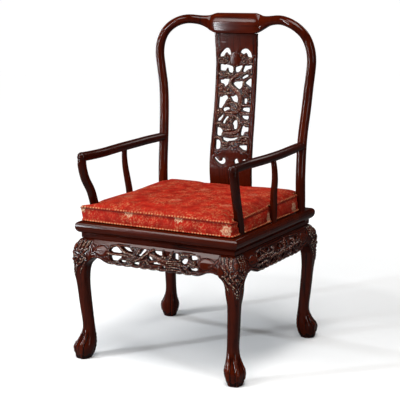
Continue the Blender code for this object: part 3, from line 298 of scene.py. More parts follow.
apron_side_openings = (
    ((-0.68, 0.40), (-0.64, 0.26), (-0.57, 0.22), (-0.56, 0.32), (-0.61, 0.42)),
    ((-0.68, 0.58), (-0.60, 0.55), (-0.57, 0.62), (-0.64, 0.66)),
    ((-0.66, 0.78), (-0.59, 0.76), (-0.56, 0.83), (-0.62, 0.86)),
    ((-0.39, 0.22), (-0.31, 0.19), (-0.28, 0.28), (-0.35, 0.32)),
    ((-0.32, 0.75), (-0.25, 0.64), (-0.19, 0.74), (-0.25, 0.82)),
    ((-0.07, 0.38), (-0.01, 0.22), (0.06, 0.24), (0.04, 0.38), (-0.01, 0.46)),
    ((0.03, 0.78), (0.11, 0.68), (0.17, 0.76), (0.11, 0.83)),
    ((0.23, 0.44), (0.28, 0.24), (0.32, 0.26), (0.29, 0.46)),
    ((0.39, 0.74), (0.46, 0.68), (0.48, 0.79), (0.43, 0.84)),
    ((0.55, 0.34), (0.59, 0.22), (0.66, 0.27), (0.62, 0.39)),
    ((0.61, 0.64), (0.69, 0.58), (0.69, 0.71), (0.64, 0.77)),
)

# Carving: a line's points, its half width at both ends in millimetres, its height and its kind
splat_lines = (
    # beads along the border
    (((-0.90, 0.29), (-0.895, 0.55), (-0.895, 0.87)), 2.4, 2.4, 1.9, "round"),
    (((0.90, 0.29), (0.895, 0.55), (0.895, 0.87)), 2.4, 2.4, 1.9, "round"),
    # clouds on both sides of the bat
    (((-0.84, 0.848), (-0.74, 0.862), (-0.60, 0.864), (-0.50, 0.856)), 4.2, 3.2, 3.0, "round"),
    (((-0.62, 0.862), (-0.52, 0.868), (-0.47, 0.884)), 5.4, 3.0, 3.4, "leaf"),
    (((-0.34, 0.858), (-0.42, 0.868), (-0.47, 0.884)), 4.8, 3.0, 3.2, "leaf"),
    (((-0.82, 0.828), (-0.70, 0.826), (-0.56, 0.828), (-0.44, 0.836)), 3.6, 3.0, 2.8, "round"),
    (((0.36, 0.856), (0.46, 0.870), (0.49, 0.886)), 5.4, 3.0, 3.4, "leaf"),
    (((0.62, 0.858), (0.53, 0.870), (0.49, 0.886)), 4.8, 3.0, 3.2, "leaf"),
    (((0.84, 0.858), (0.72, 0.852), (0.60, 0.846), (0.48, 0.850)), 3.8, 3.2, 3.0, "round"),
    (((0.42, 0.822), (0.56, 0.828), (0.70, 0.828), (0.84, 0.824)), 3.4, 3.0, 3.0, "round"),
    # stems down to the branches
    (((-0.09, 0.816), (-0.09, 0.790), (-0.14, 0.764), (-0.20, 0.748)), 3.0, 4.2, 3.4, "round"),
    (((0.40, 0.816), (0.34, 0.794), (0.20, 0.770), (0.02, 0.760)), 4.6, 3.4, 3.6, "round"),
    (((-0.46, 0.764), (-0.41, 0.782), (-0.38, 0.806)), 6.0, 2.4, 3.4, "leaf"),
    (((0.28, 0.752), (0.42, 0.766), (0.56, 0.776), (0.64, 0.788)), 3.4, 3.4, 3.0, "round"),
    (((0.84, 0.752), (0.66, 0.738), (0.48, 0.724), (0.42, 0.704), (0.40, 0.690)), 4.6, 5.6, 4.2, "round"),
    (((-0.82, 0.762), (-0.66, 0.752), (-0.50, 0.748), (-0.34, 0.756)), 4.0, 3.4, 3.0, "round"),
    (((-0.34, 0.744), (-0.33, 0.722), (-0.38, 0.700), (-0.50, 0.680)), 4.4, 3.6, 3.4, "round"),
    (((-0.82, 0.690), (-0.68, 0.702), (-0.54, 0.688), (-0.46, 0.672)), 4.6, 3.4, 3.2, "round"),
    # foliage beside the body
    (((-0.52, 0.642), (-0.36, 0.648), (-0.22, 0.652), (-0.08, 0.656)), 4.4, 3.4, 3.6, "leaf"),
    (((-0.84, 0.652), (-0.72, 0.648), (-0.60, 0.646), (-0.48, 0.652)), 3.4, 3.0, 3.0, "leaf"),
    (((-0.10, 0.612), (-0.24, 0.614), (-0.36, 0.600), (-0.46, 0.582)), 4.6, 3.4, 3.6, "leaf"),
    (((-0.06, 0.596), (-0.20, 0.594), (-0.34, 0.584), (-0.54, 0.572)), 4.2, 3.4, 3.6, "leaf"),
    (((-0.02, 0.604), (0.10, 0.588), (0.20, 0.570), (0.32, 0.552)), 3.8, 3.0, 3.8, "round"),
    (((-0.16, 0.576), (-0.06, 0.566), (0.08, 0.560), (0.20, 0.548)), 3.4, 2.6, 3.0, "leaf"),
    (((-0.84, 0.528), (-0.72, 0.536), (-0.62, 0.546), (-0.54, 0.538)), 3.6, 3.0, 3.2, "round"),
    (((0.40, 0.582), (0.56, 0.580), (0.70, 0.584), (0.84, 0.580)), 4.0, 3.2, 3.4, "round"),
    (((0.36, 0.540), (0.52, 0.537), (0.68, 0.538), (0.84, 0.534)), 3.6, 3.0, 3.4, "round"),
    (((0.38, 0.526), (0.54, 0.529), (0.70, 0.528), (0.84, 0.526)), 2.4, 2.0, 2.6, "round"),
    (((-0.84, 0.466), (-0.70, 0.472), (-0.58, 0.470), (-0.48, 0.458)), 4.6, 4.0, 3.4, "round"),
    (((0.46, 0.482), (0.60, 0.486), (0.72, 0.484), (0.84, 0.476)), 4.0, 3.4, 3.4, "round"),
    # the dragon's body: from the tail above, round the coil to the belly
    (((0.36, 0.772), (0.16, 0.758), (-0.08, 0.742), (-0.24, 0.720), (-0.25, 0.698), (-0.12, 0.680),
      (0.06, 0.664), (0.22, 0.644), (0.30, 0.616), (0.30, 0.590)), 5.6, 8.4, 5.0, "scaled"),
    (((0.32, 0.566), (0.20, 0.544), (-0.02, 0.536), (-0.24, 0.532),
     (-0.40, 0.536)), 7.0, 5.0, 4.4, "scaled"),
    (((-0.34, 0.520), (-0.10, 0.518), (0.12, 0.514), (0.28, 0.498), (0.36, 0.470), (0.34, 0.440),
      (0.20, 0.424), (0.02, 0.418), (-0.20, 0.414), (-0.46, 0.412)), 5.0, 7.0, 5.0, "scaled"),
    (((-0.46, 0.398), (-0.20, 0.399), (0.10, 0.400), (0.34, 0.404)), 2.4, 2.6, 2.4, "round"),
    # the head: mane, brow, jaws and a horn
    (((-0.08, 0.500), (-0.22, 0.502), (-0.34, 0.486), (-0.42, 0.470)), 4.0, 3.0, 3.6, "leaf"),
    (((-0.02, 0.482), (-0.16, 0.486), (-0.26, 0.474), (-0.34, 0.460)), 3.8, 3.0, 3.8, "leaf"),
    (((-0.12, 0.436), (-0.32, 0.436), (-0.50, 0.442), (-0.66, 0.454)), 5.0, 2.8, 4.4, "round"),
    (((-0.20, 0.462), (-0.38, 0.460), (-0.52, 0.462), (-0.62, 0.458)), 5.4, 3.2, 4.8, "round"),
    # clouds and waves at the right and below
    (((0.38, 0.392), (0.54, 0.398), (0.70, 0.402), (0.84, 0.398)), 3.4, 2.8, 3.2, "round"),
    (((0.30, 0.382), (0.48, 0.384), (0.66, 0.380), (0.84, 0.384)), 3.4, 2.8, 3.4, "round"),
    (((0.24, 0.366), (0.44, 0.366), (0.64, 0.364), (0.84, 0.366)), 3.2, 2.8, 3.2, "round"),
    (((-0.84, 0.386), (-0.68, 0.388), (-0.54, 0.378), (-0.46, 0.360)), 3.8, 3.6, 3.4, "round"),
    (((-0.56, 0.372), (-0.40, 0.358), (-0.24, 0.356), (-0.08, 0.362)), 3.8, 2.8, 3.4, "leaf"),
    (((-0.52, 0.350), (-0.38, 0.342), (-0.24, 0.344), (-0.12, 0.352)), 3.4, 2.4, 3.0, "leaf"),
    (((-0.50, 0.334), (-0.36, 0.328), (-0.22, 0.330), (-0.10, 0.340)), 2.8, 2.0, 2.4, "leaf"),
    (((0.34, 0.328), (0.44, 0.318), (0.60, 0.308), (0.84, 0.312)), 3.0, 2.6, 2.4, "leaf"),
    (((-0.84, 0.306), (-0.66, 0.304), (-0.54, 0.312), (-0.48, 0.330)), 2.8, 2.4, 2.2, "leaf"),
    # lips under the scrolls at the foot
    (((-0.88, 0.272), (-0.78, 0.246), (-0.60, 0.230), (-0.42, 0.221),
     (-0.24, 0.226)), 1.8, 1.8, 1.2, "round"),
    (((0.88, 0.272), (0.78, 0.246), (0.60, 0.230), (0.42, 0.221), (0.24, 0.226)), 1.8, 1.8, 1.2, "round"),
)
# Carving: centre, radius and height in millimetres, turns of a curl or none for a knob
splat_bosses = (
    (-0.05, 0.848, 23.0, 1.6, 0.0), (-0.04, 0.872, 3.4, 1.6, 0.0), (0.27, 0.872, 6.4, 4.2, 0.0),
    (-0.64, 0.842, 5.8, 3.8, 1.4), (-0.50, 0.840, 4.4, 3.6, 0.0), (0.60, 0.838, 5.6, 3.8, -1.4),
    (0.74, 0.842, 4.8, 3.6, 1.3), (0.42, 0.840, 4.8, 3.4, -1.2), (-0.76, 0.836, 4.0, 3.0, 0.0),
    (-0.47, 0.760, 7.4, 4.4, 1.4), (-0.36, 0.762, 4.0, 4.2, 0.0), (-0.70, 0.756, 5.6, 3.8, -1.3),
    (-0.74, 0.772, 3.8, 3.2, 0.0), (-0.30, 0.752, 5.0, 4.2, 0.0), (0.64, 0.776, 6.0, 3.8, 1.3),
    (0.70, 0.762, 4.6, 3.8, 0.0), (0.78, 0.774, 3.8, 3.2, 0.0), (0.56, 0.668, 13.4, 5.0, 2.4),
    (0.78, 0.664, 5.0, 3.4, 1.2), (0.66, 0.640, 5.4, 3.4, -1.3), (0.44, 0.642, 4.6, 3.2, 1.2),
    (-0.68, 0.672, 8.4, 4.4, 1.7), (-0.33, 0.670, 5.4, 4.4, 0.0), (-0.50, 0.660, 4.6, 3.6, -1.2),
    (-0.76, 0.640, 4.2, 3.2, 0.0), (-0.33, 0.588, 3.6, 5.0, 0.0), (-0.22, 0.578, 3.6, 4.8, 0.0),
    (-0.20, 0.606, 3.4, 4.8, 0.0), (-0.45, 0.566, 3.4, 4.4, 0.0), (0.33, 0.576, 5.2, 5.8, 0.0),
    (0.70, 0.598, 5.0, 4.0, 1.2), (0.72, 0.618, 4.4, 3.6, 0.0), (0.72, 0.636, 3.8, 3.2, 0.0),
    (-0.78, 0.546, 4.6, 3.8, -1.2), (-0.62, 0.552, 3.6, 4.0, 0.0), (-0.74, 0.530, 4.4, 3.8, 1.2),
    (-0.78, 0.514, 4.0, 3.6, 0.0), (-0.60, 0.532, 3.6, 3.6, 0.0), (0.14, 0.516, 4.6, 5.6, 0.0),
    (0.00, 0.508, 3.6, 5.2, 0.0), (0.36, 0.476, 5.0, 6.4, 0.0), (-0.14, 0.452, 4.4, 6.0, 0.0),
    (-0.31, 0.448, 4.0, 5.8, 0.0), (-0.47, 0.456, 4.4, 5.4, 0.0), (-0.62, 0.458, 3.8, 4.8, 0.0),
    (0.66, 0.468, 5.0, 4.0, 0.0), (0.74, 0.492, 4.0, 3.4, -1.2), (0.36, 0.392, 4.2, 4.0, 0.0),
    (0.70, 0.388, 5.6, 4.0, 1.4), (0.52, 0.374, 5.0, 3.8, -1.3), (0.80, 0.374, 4.0, 3.4, 0.0),
    (0.10, 0.358, 6.4, 4.4, 1.3), (-0.02, 0.352, 4.2, 3.8, 0.0), (-0.66, 0.386, 4.2, 3.6, 0.0),
    (-0.22, 0.344, 3.6, 3.6, 0.0), (0.22, 0.338, 4.2, 3.6, 0.0), (0.10, 0.330, 4.6, 3.0, -1.2),
)

# Lines of the front and the side aprons: the smooth cartouches beside the knees and the lip round the field
apron_end_lines = (
    (((-0.74, 0.47), (-0.84, 0.44), (-0.96, 0.40)), 19.0, 13.0, 2.6, "dome"),
    (((0.74, 0.47), (0.84, 0.44), (0.96, 0.40)), 19.0, 13.0, 2.6, "dome"),
    (((-0.40, 0.12), (-0.56, 0.13), (-0.66, 0.19), (-0.715, 0.32), (-0.72, 0.50), (-0.71, 0.72)),
     1.8, 1.8, 1.8, "round"),
    (((0.44, 0.12), (0.58, 0.13), (0.68, 0.18), (0.725, 0.30), (0.73, 0.50), (0.72, 0.72)),
     1.8, 1.8, 1.8, "round"),
)
# Lines of the front and the side aprons: the moulding along the lower edge
apron_foot_lines = (
    (((-1.02, 0.79), (-0.96, 0.735), (-0.90, 0.715), (-0.83, 0.74), (-0.76, 0.82), (-0.68, 0.90)),
     2.0, 2.0, 2.0, "round"),
    (((1.02, 0.79), (0.96, 0.735), (0.90, 0.715), (0.83, 0.74), (0.76, 0.82), (0.68, 0.90)),
     2.0, 2.0, 2.0, "round"),
    (((-0.66, 0.92), (-0.50, 0.945), (-0.34, 0.92), (-0.18, 0.96), (0.00, 0.94), (0.20, 0.92), (0.44, 0.96),
      (0.66, 0.92)), 3.2, 3.2, 2.2, "round"),
)
apron_front_lines = (
    *apron_end_lines,
    # leaves that run in from the knees
    (((-1.00, 0.20), (-0.97, 0.30), (-0.93, 0.40), (-0.88, 0.46)), 3.2, 2.0, 2.8, "leaf"),
    (((-1.02, 0.62), (-0.97, 0.54), (-0.94, 0.46), (-0.95, 0.36)), 3.6, 2.4, 2.4, "leaf"),
    (((1.00, 0.20), (0.98, 0.30), (0.95, 0.42), (0.88, 0.50)), 3.2, 2.0, 2.8, "leaf"),
    (((1.02, 0.62), (0.98, 0.54), (0.95, 0.46), (0.96, 0.36)), 3.6, 2.4, 2.4, "leaf"),
    *apron_foot_lines,
    # branches, from the left
    (((-0.74, 0.50), (-0.60, 0.50), (-0.46, 0.50), (-0.32, 0.58), (-0.20, 0.66)), 4.0, 4.6, 4.0, "round"),
    (((-0.58, 0.14), (-0.53, 0.22), (-0.46, 0.36), (-0.36, 0.43), (-0.28, 0.52)), 3.6, 4.0, 4.4, "round"),
    (((-0.46, 0.56), (-0.36, 0.53), (-0.28, 0.58), (-0.24, 0.66)), 2.8, 2.2, 4.6, "leaf"),
    (((-0.54, 0.66), (-0.42, 0.62), (-0.34, 0.66), (-0.26, 0.74)), 3.4, 2.6, 4.0, "leaf"),
    (((-0.44, 0.74), (-0.36, 0.76), (-0.32, 0.84), (-0.40, 0.92)), 3.4, 3.0, 3.4, "round"),
    (((-0.66, 0.62), (-0.62, 0.78), (-0.56, 0.88)), 2.8, 2.8, 3.0, "leaf"),
    (((-0.28, 0.66), (-0.18, 0.56), (-0.12, 0.38), (-0.05, 0.22), (0.00, 0.14)), 4.6, 3.4, 4.6, "round"),
    (((-0.20, 0.64), (-0.12, 0.60), (-0.06, 0.70), (-0.10, 0.84)), 3.0, 2.4, 3.6, "leaf"),
    # the dragon's body
    (((-0.04, 0.34), (0.05, 0.42), (0.14, 0.50), (0.24, 0.56), (0.34, 0.54)), 5.0, 7.0, 4.6, "scaled"),
    (((-0.02, 0.62), (0.08, 0.60), (0.18, 0.68), (0.26, 0.76)), 3.8, 3.4, 3.8, "scaled"),
    (((0.16, 0.40), (0.16, 0.26), (0.15, 0.14)), 3.2, 2.4, 3.6, "round"),
    (((0.28, 0.40), (0.29, 0.26), (0.30, 0.14)), 3.2, 2.8, 3.8, "round"),
    # ridges of the mane
    (((0.26, 0.50), (0.36, 0.48), (0.48, 0.42)), 2.4, 1.8, 4.6, "round"),
    (((0.26, 0.58), (0.38, 0.56), (0.50, 0.52)), 2.4, 1.8, 4.6, "round"),
    (((0.26, 0.66), (0.38, 0.63), (0.48, 0.62)), 2.4, 1.8, 4.4, "round"),
    (((0.26, 0.76), (0.38, 0.72), (0.46, 0.74)), 2.4, 1.8, 4.2, "round"),
    (((0.24, 0.87), (0.36, 0.84), (0.50, 0.87)), 2.6, 2.0, 4.0, "round"),
    # brow, muzzle and beard
    (((0.40, 0.16), (0.43, 0.26), (0.44, 0.40)), 2.6, 2.2, 4.2, "round"),
    (((0.44, 0.20), (0.50, 0.17), (0.57, 0.22), (0.60, 0.34)), 3.0, 2.4, 4.4, "round"),
    (((0.54, 0.44), (0.60, 0.50), (0.66, 0.58), (0.72, 0.58)), 3.6, 2.4, 4.4, "round"),
    (((0.52, 0.66), (0.56, 0.76), (0.60, 0.88)), 3.4, 2.6, 4.0, "leaf"),
)
apron_front_bosses = (
    (-0.23, 0.27, 6.4, 4.6, -1.3), (-0.33, 0.21, 3.6, 4.0, 0.0), (-0.44, 0.64, 3.0, 4.6, 0.0),
    (-0.13, 0.70, 3.8, 4.4, 0.0), (-0.09, 0.60, 3.0, 4.6, 0.0), (-0.02, 0.87, 4.4, 4.0, 1.2),
    (-0.14, 0.86, 4.4, 3.8, -1.2), (-0.57, 0.84, 4.0, 3.6, 0.0), (0.06, 0.43, 3.0, 6.4, 0.0),
    (0.20, 0.40, 4.2, 5.8, 0.0), (0.27, 0.27, 4.2, 5.2, 0.0), (0.24, 0.59, 4.6, 6.4, 1.2),
    (0.24, 0.84, 3.4, 4.4, 0.0), (0.10, 0.88, 4.4, 3.8, 1.2), (0.50, 0.46, 6.0, 5.6, 0.0),
    (0.55, 0.28, 3.2, 5.4, 0.0), (0.66, 0.45, 6.6, 5.0, 1.7), (0.53, 0.74, 4.4, 5.0, 0.0),
    (0.60, 0.86, 4.0, 4.2, 0.0), (0.58, 0.58, 3.4, 5.2, 0.0), (0.46, 0.80, 3.6, 4.2, -1.2),
    (-0.30, 0.90, 3.6, 3.4, 0.0), (-0.46, 0.88, 4.0, 3.6, 1.2),
)
apron_side_lines = (
    *apron_end_lines,
    (((-1.00, 0.20), (-0.97, 0.30), (-0.93, 0.40), (-0.88, 0.46)), 3.2, 2.0, 2.8, "leaf"),
    (((1.00, 0.20), (0.98, 0.30), (0.95, 0.42), (0.88, 0.50)), 3.2, 2.0, 2.8, "leaf"),
    *apron_foot_lines,
    (((-0.74, 0.48), (-0.62, 0.49), (-0.48, 0.46), (-0.36, 0.52), (-0.24, 0.50)), 4.0, 4.4, 4.0, "round"),
    (((-0.74, 0.70), (-0.60, 0.69), (-0.46, 0.66), (-0.38, 0.76), (-0.42, 0.92)), 3.8, 3.2, 3.8, "round"),
    (((-0.54, 0.14), (-0.48, 0.26), (-0.38, 0.42), (-0.24, 0.42), (-0.16, 0.26)), 3.8, 3.4, 4.2, "round"),
    (((-0.50, 0.36), (-0.60, 0.40), (-0.66, 0.48)), 3.0, 2.4, 3.8, "leaf"),
    (((-0.32, 0.60), (-0.16, 0.56), (-0.06, 0.62), (0.06, 0.56), (0.16, 0.46), (0.18, 0.28), (0.24, 0.14)),
     4.6, 6.0, 5.0, "scaled"),
    (((0.10, 0.56), (0.24, 0.60), (0.36, 0.56), (0.46, 0.50), (0.50, 0.30)), 5.6, 4.0, 4.8, "scaled"),
    (((0.34, 0.58), (0.36, 0.74), (0.30, 0.90)), 4.0, 3.0, 4.0, "leaf"),
    (((0.46, 0.56), (0.58, 0.52), (0.72, 0.46)), 3.8, 2.8, 4.0, "leaf"),
    (((-0.14, 0.66), (-0.08, 0.78), (-0.14, 0.90)), 3.6, 2.8, 3.8, "leaf"),
)
apron_side_bosses = (
    (-0.46, 0.42, 5.4, 4.8, 1.4), (-0.46, 0.82, 5.4, 4.2, -1.3), (-0.20, 0.28, 5.6, 4.6, -1.4),
    (-0.06, 0.82, 6.0, 4.8, 1.5), (-0.30, 0.90, 4.2, 3.6, 0.0), (0.02, 0.42, 3.8, 5.4, 0.0),
    (0.28, 0.60, 5.8, 6.4, 0.0), (0.26, 0.60, 2.4, 8.0, 0.0), (0.26, 0.86, 5.0, 4.2, 1.3),
    (0.53, 0.54, 6.0, 5.0, 1.5), (0.56, 0.88, 5.0, 3.8, -1.2), (0.44, 0.28, 5.0, 4.6, -1.3),
    (0.12, 0.24, 4.6, 4.4, 1.2), (-0.60, 0.56, 3.0, 4.6, 0.0), (0.40, 0.44, 3.2, 5.6, 0.0),
)

# Centre of the foot from the leg's outer corner in leg blocks, by height as a share of the apron's top
foot_centre_shares = ((0.0, 0.020), (0.048, -0.018), (0.106, -0.034), (0.134, -0.092), (0.164, -0.160),
                      (0.198, -0.202), (0.24, -0.235))
# Half width of a toe in degrees, by height
toe_widths = ((0.0, 7.0), (0.018, 13.0), (0.05, 14.0), (0.09, 19.0))

# How the grain is stretched for each direction of the wood
grain_stretches = (("across", (0.07, 1.0, 1.0)), ("deep", (1.0, 0.07, 1.0)), ("upright", (1.0, 1.0, 0.07)))

# Knee carving: out from the corner ridge and up, both in millimetres
knee_lines = (
    (((10.0, 376.0), (17.0, 366.0), (19.0, 354.0), (14.0, 341.0)), 5.4, 4.4, 3.4, "leaf"),
    (((24.0, 378.0), (30.0, 366.0), (31.0, 352.0), (25.0, 338.0)), 5.4, 4.4, 3.4, "leaf"),
    (((40.0, 378.0), (44.0, 366.0), (42.0, 352.0), (36.0, 342.0)), 4.8, 4.0, 3.0, "leaf"),
    (((50.0, 352.0), (42.0, 344.0), (38.0, 334.0), (42.0, 324.0), (50.0, 322.0)), 4.2, 3.0, 3.0, "round"),
    (((0.0, 342.0), (6.0, 332.0), (14.0, 324.0), (24.0, 322.0)), 4.4, 3.4, 3.2, "leaf"),
    (((42.0, 322.0), (30.0, 309.0), (16.0, 298.0), (2.0, 289.0)), 4.6, 3.4, 3.2, "leaf"),
    (((26.0, 330.0), (16.0, 317.0), (6.0, 307.0), (0.0, 300.0)), 3.6, 2.8, 2.8, "leaf"),
    (((46.0, 314.0), (38.0, 300.0), (30.0, 286.0), (25.0, 270.0)), 2.8, 1.8, 2.2, "leaf"),
    (((18.0, 296.0), (11.0, 286.0), (6.0, 272.0), (4.0, 258.0)), 2.8, 1.8, 1.8, "leaf"),
)
knee_bosses = (
    (0.0, 356.0, 10.5, 2.6, 0.0), (22.0, 344.0, 4.6, 3.8, 1.2), (36.0, 332.0, 5.4, 3.8, 1.3),
    (2.0, 316.0, 5.4, 3.4, 0.0), (30.0, 318.0, 5.2, 3.8, 0.0), (14.0, 306.0, 3.6, 3.4, 0.0),
    (0.0, 283.0, 3.6, 2.2, 0.0), (0.0, 274.5, 3.4, 2.0, 0.0), (0.0, 266.5, 3.0, 1.7, 0.0),
)


def colour_setting(name, description, default):
    """Return a setting that holds a colour."""
    return FloatVectorProperty(name=name, description=description, default=default, min=0.0, max=1.0,
                               subtype="COLOR")


def length_setting(name, description, default, least=0.0):
    """Return a setting that holds a length in metres."""
    return FloatProperty(name=name, description=description, default=default, min=least,
                         subtype="DISTANCE", unit="LENGTH")


def factor_setting(name, description, default):
    """Return a setting that holds a share from 0 to 1."""
    return FloatProperty(name=name, description=description, default=default, min=0.0, max=1.0,
                         subtype="FACTOR")


def power_setting(name, description, default):
    """Return a setting that holds the power of a lamp in watts."""
    return FloatProperty(name=name, description=description, default=default, min=0.0,
                         subtype="POWER", unit="POWER")


def angle_setting(name, description, degrees):
    """Return a setting that holds an angle, given in degrees."""
    return FloatProperty(name=name, description=description, default=math.radians(degrees),
                         subtype="ANGLE", unit="ROTATION")


class WoodSettings(bpy.types.PropertyGroup):
    """Colours and polish of the rosewood."""

    dark_colour: colour_setting("Dark streaks", "Colour of the dark streaks", (0.010, 0.0010, 0.0003))
    red_colour: colour_setting("Body colour", "Colour of most of the wood", (0.045, 0.0040, 0.0006))
    light_colour: colour_setting("Light streaks", "Colour of the lighter streaks", (0.098, 0.0115, 0.0016))
    # Painted glints: a pale colour on the high edges of the carving stands in for highlights
    painted_glint_colour: colour_setting("Rubbed edges", "Colour of the rubbed edges of the carving",
                                (0.50, 0.42, 0.31))
    arm_tone: FloatProperty(name="Arm tone", description="How light the wood of the arms is beside the rest",
                            default=0.62, min=0.0)
    roughness: factor_setting("Roughness", "Roughness under the polish", 0.22)
    polish: factor_setting("Polish", "Amount of clear polish", 0.50)


class CarvingSettings(bpy.types.PropertyGroup):
    """How finely and how deep the wood is carved."""

    splat_grain: length_setting("Splat fineness", "Size of the splat's smallest facets", 0.0014, 0.0005)
    apron_grain: length_setting("Apron fineness", "Size of the aprons' smallest facets", 0.0011, 0.0005)
    leg_grain: length_setting("Leg fineness", "Size of the legs' smallest facets", 0.0015, 0.0005)
    sink: length_setting("Sink", "How far the edges of the strands are sunk", 0.0034)
    slant: length_setting("Slant", "How far the openings reach behind what the eye sees", 0.0045)
    rounding: length_setting("Rounding", "Rounding of the edges of the openings", 0.0046)


class CushionSettings(bpy.types.PropertyGroup):
    """Size, stuffing and cloth of the cushion."""

    red_colour: colour_setting("Red silk", "Colour of the ground of the brocade", (0.30, 0.0095, 0.0036))
    gold_colour: colour_setting("Gold thread", "Colour of the small figures", (0.58, 0.29, 0.125))
    cream_colour: colour_setting("Cream thread", "Colour of the large flowers", (0.64, 0.46, 0.28))
    facet: length_setting("Facet", "Size of the facets that are blown up", 0.0055, 0.002)
    slack: length_setting("Slack", "How much smaller the cloth is cut", 0.0025)
    corner: length_setting("Corner", "How far the left front corner is pushed out", 0.0115)
    swell: length_setting("Swell", "The furthest that a point may swell", 0.0045)
    pressure: FloatProperty(name="Pressure", description="Pressure of the stuffing", default=3.0, min=0.0)
    frames: IntProperty(name="Frames", description="Steps of the cloth simulation", default=14, min=2)
    piping: length_setting("Piping", "Radius of the piping", 0.0024, 0.0005)


class StageSettings(bpy.types.PropertyGroup):
    """The camera, the lamps and the floor."""

    focal_length: FloatProperty(name="Focal length", description="Lens of the camera", default=99.18,
                                min=10.0, subtype="DISTANCE_CAMERA", unit="CAMERA")
    azimuth: angle_setting("Azimuth", "Bearing of the camera", 27.94)
    elevation: angle_setting("Elevation", "Height angle of the camera", 11.13)
    top_power: power_setting("Top power", "Power of the lamp above", 86.0)
    key_power: power_setting("Key power", "Power of the lamp in front on the left", 58.0)
    strip_power: power_setting("Strip power", "Power of each tall strip of light", 50.0)
    surround: FloatProperty(name="Surround", description="Strength of the light from all round",
                            default=0.04, min=0.0)
    glow: FloatProperty(name="Floor glow", description="How much whiter the floor looks than it is lit",
                        default=0.03, min=0.0, max=1.0)


# Shaping with Blender's own tools


def select_only(*pieces):
    """Select these pieces and nothing else, the first of them active."""
    bpy.ops.object.select_all(action="DESELECT")
    for piece in pieces:
        piece.select_set(True)
    bpy.context.view_layer.objects.active = pieces[0]


def apply_modifier(piece, kind, **settings):
    """Add a modifier with its settings and apply it."""
    select_only(piece)
    modifier = piece.modifiers.new(kind.lower(), kind)
    for name, value in settings.items():
        setattr(modifier, name, value)
    bpy.ops.object.modifier_apply(modifier=modifier.name)


def weld(piece, quads=False):
    """Merge the doubles of a piece, turn its faces outwards and, if asked, pair its triangles."""
    select_only(piece)
    bpy.ops.object.mode_set(mode="EDIT")
    bpy.ops.mesh.select_all(action="SELECT")
    bpy.ops.mesh.remove_doubles(threshold=0.00003)
    if quads:
        bpy.ops.mesh.tris_convert_to_quads(face_threshold=math.radians(12), shape_threshold=math.radians(60))
    bpy.ops.mesh.normals_make_consistent(inside=False)
    bpy.ops.object.mode_set(mode="OBJECT")


def smooth(piece, degrees=35.0):
    """Shade a piece smooth but for its real edges."""
    select_only(piece)
    bpy.ops.object.shade_smooth_by_angle(angle=math.radians(degrees))


def copy_node(node, name, quads=True):
    """Copy a node's mesh as a piece of its own and weld it."""
    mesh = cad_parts[node].data.copy()
    mesh.name = name
    piece = bpy.data.objects.new(name, mesh)
    bpy.context.scene.collection.objects.link(piece)
    weld(piece, quads)
    return piece


def settle(piece, material, *nodes, slot="wood"):
    """Give a finished piece its material, its body and the nodes that it stands for."""
    piece.data.materials.clear()
    piece.data.materials.append(material)
    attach(piece, "root")
    if nodes:
        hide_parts(*nodes)
    return piece


def smooth_path(places, steps):
    """Return places on a smooth curve through the given ones."""
    places = [Vector(place) for place in places]
    row = [places[0] * 2 - places[1], *places, places[-1] * 2 - places[-2]]
    path = []
    for a, b, c, d in zip(row, row[1:], row[2:], row[3:]):
        for step in range(steps):
            t = step / steps
            path.append((b * 2 + (c - a) * t + (a * 2 - b * 5 + c * 4 - d) * t ** 2
                         + (b * 3 - a - c * 3 + d) * t ** 3) / 2)
    path.append(places[-1])
    return path


def interpolate(table, value):
    """Read the second column of a table at values of its first column."""
    return np.interp(value, [row[0] for row in table], [row[1] for row in table])


def rise_from(values, start, width):
    """Return 0 up to a start and 1 from a width beyond it."""
    return np.clip((values - start) / width, 0.0, 1.0)


def fall_to(values, end, width):
    """Return 1 up to a width before an end and 0 from the end on."""
    return np.clip((end - values) / width, 0.0, 1.0)


def arch(share):
    """Return the height of a round arch at a share of its half width."""
    return np.sqrt(np.clip(1.0 - share ** 2, 0.0, 1.0))


def bell(away, width):
    """Return a soft bump that is 1 in its middle."""
    return np.exp(-(away / width) ** 2)


def draw_lines(name, lines, closed=False):
    """Draw lines through their places as one curve and return its object."""
    bpy.ops.object.select_all(action="DESELECT")
    bpy.ops.curve.primitive_bezier_curve_add(location=(0, 0, 0))
    piece = bpy.context.object
    piece.name = name
    piece.data.splines.clear()
    for line in lines:
        spline = piece.data.splines.new("POLY")
        spline.points.add(len(line) - 1)
        for point, place in zip(spline.points, line):
            point.co = (*place, 1.0)
        spline.use_cyclic_u = closed
    return piece


def make_mesh(name):
    """Turn the curve that was drawn last into a mesh."""
    bpy.ops.object.convert(target="MESH")
    piece = bpy.context.object
    piece.data.name = name
    return piece


def add_bar(name, path, radii, side=1, sides=24):
    """Draw a curve along a path, bevel it round and make it a mesh."""
    curve = draw_lines(name, [[(side * x, y, z) for x, y, z in path]]).data
    for point, radius in zip(curve.splines[0].points, radii):
        point.radius = radius
    curve.bevel_depth = 1.0
    curve.bevel_resolution = sides // 2 - 2
    curve.use_fill_caps = True
    piece = make_mesh(name)
    weld(piece)
    smooth(piece, 50.0)
    return piece


def read_points(piece, kind="co"):
    """Return the places or the normals of a mesh's points as rows."""
    values = np.zeros(len(piece.data.vertices) * 3)
    piece.data.vertices.foreach_get(kind, values)
    return values.reshape(-1, 3)


def move_points(piece, places):
    """Move a mesh's points to new places."""
    piece.data.vertices.foreach_set("co", places.reshape(-1))
    piece.data.update()


def keep_values(piece, name, values):
    """Keep a value for each point of a mesh, for its finish."""
    attribute = piece.data.attributes.new(name, "FLOAT", "POINT")
    attribute.data.foreach_set("value", np.asarray(values, dtype=np.float32))


def nearest_finder(places):
    """Return a tree that finds the nearest of some places."""
    tree = kdtree.KDTree(len(places))
    for number, place in enumerate(places):
        tree.insert(place, number)
    tree.balance()
    return tree


# Carving


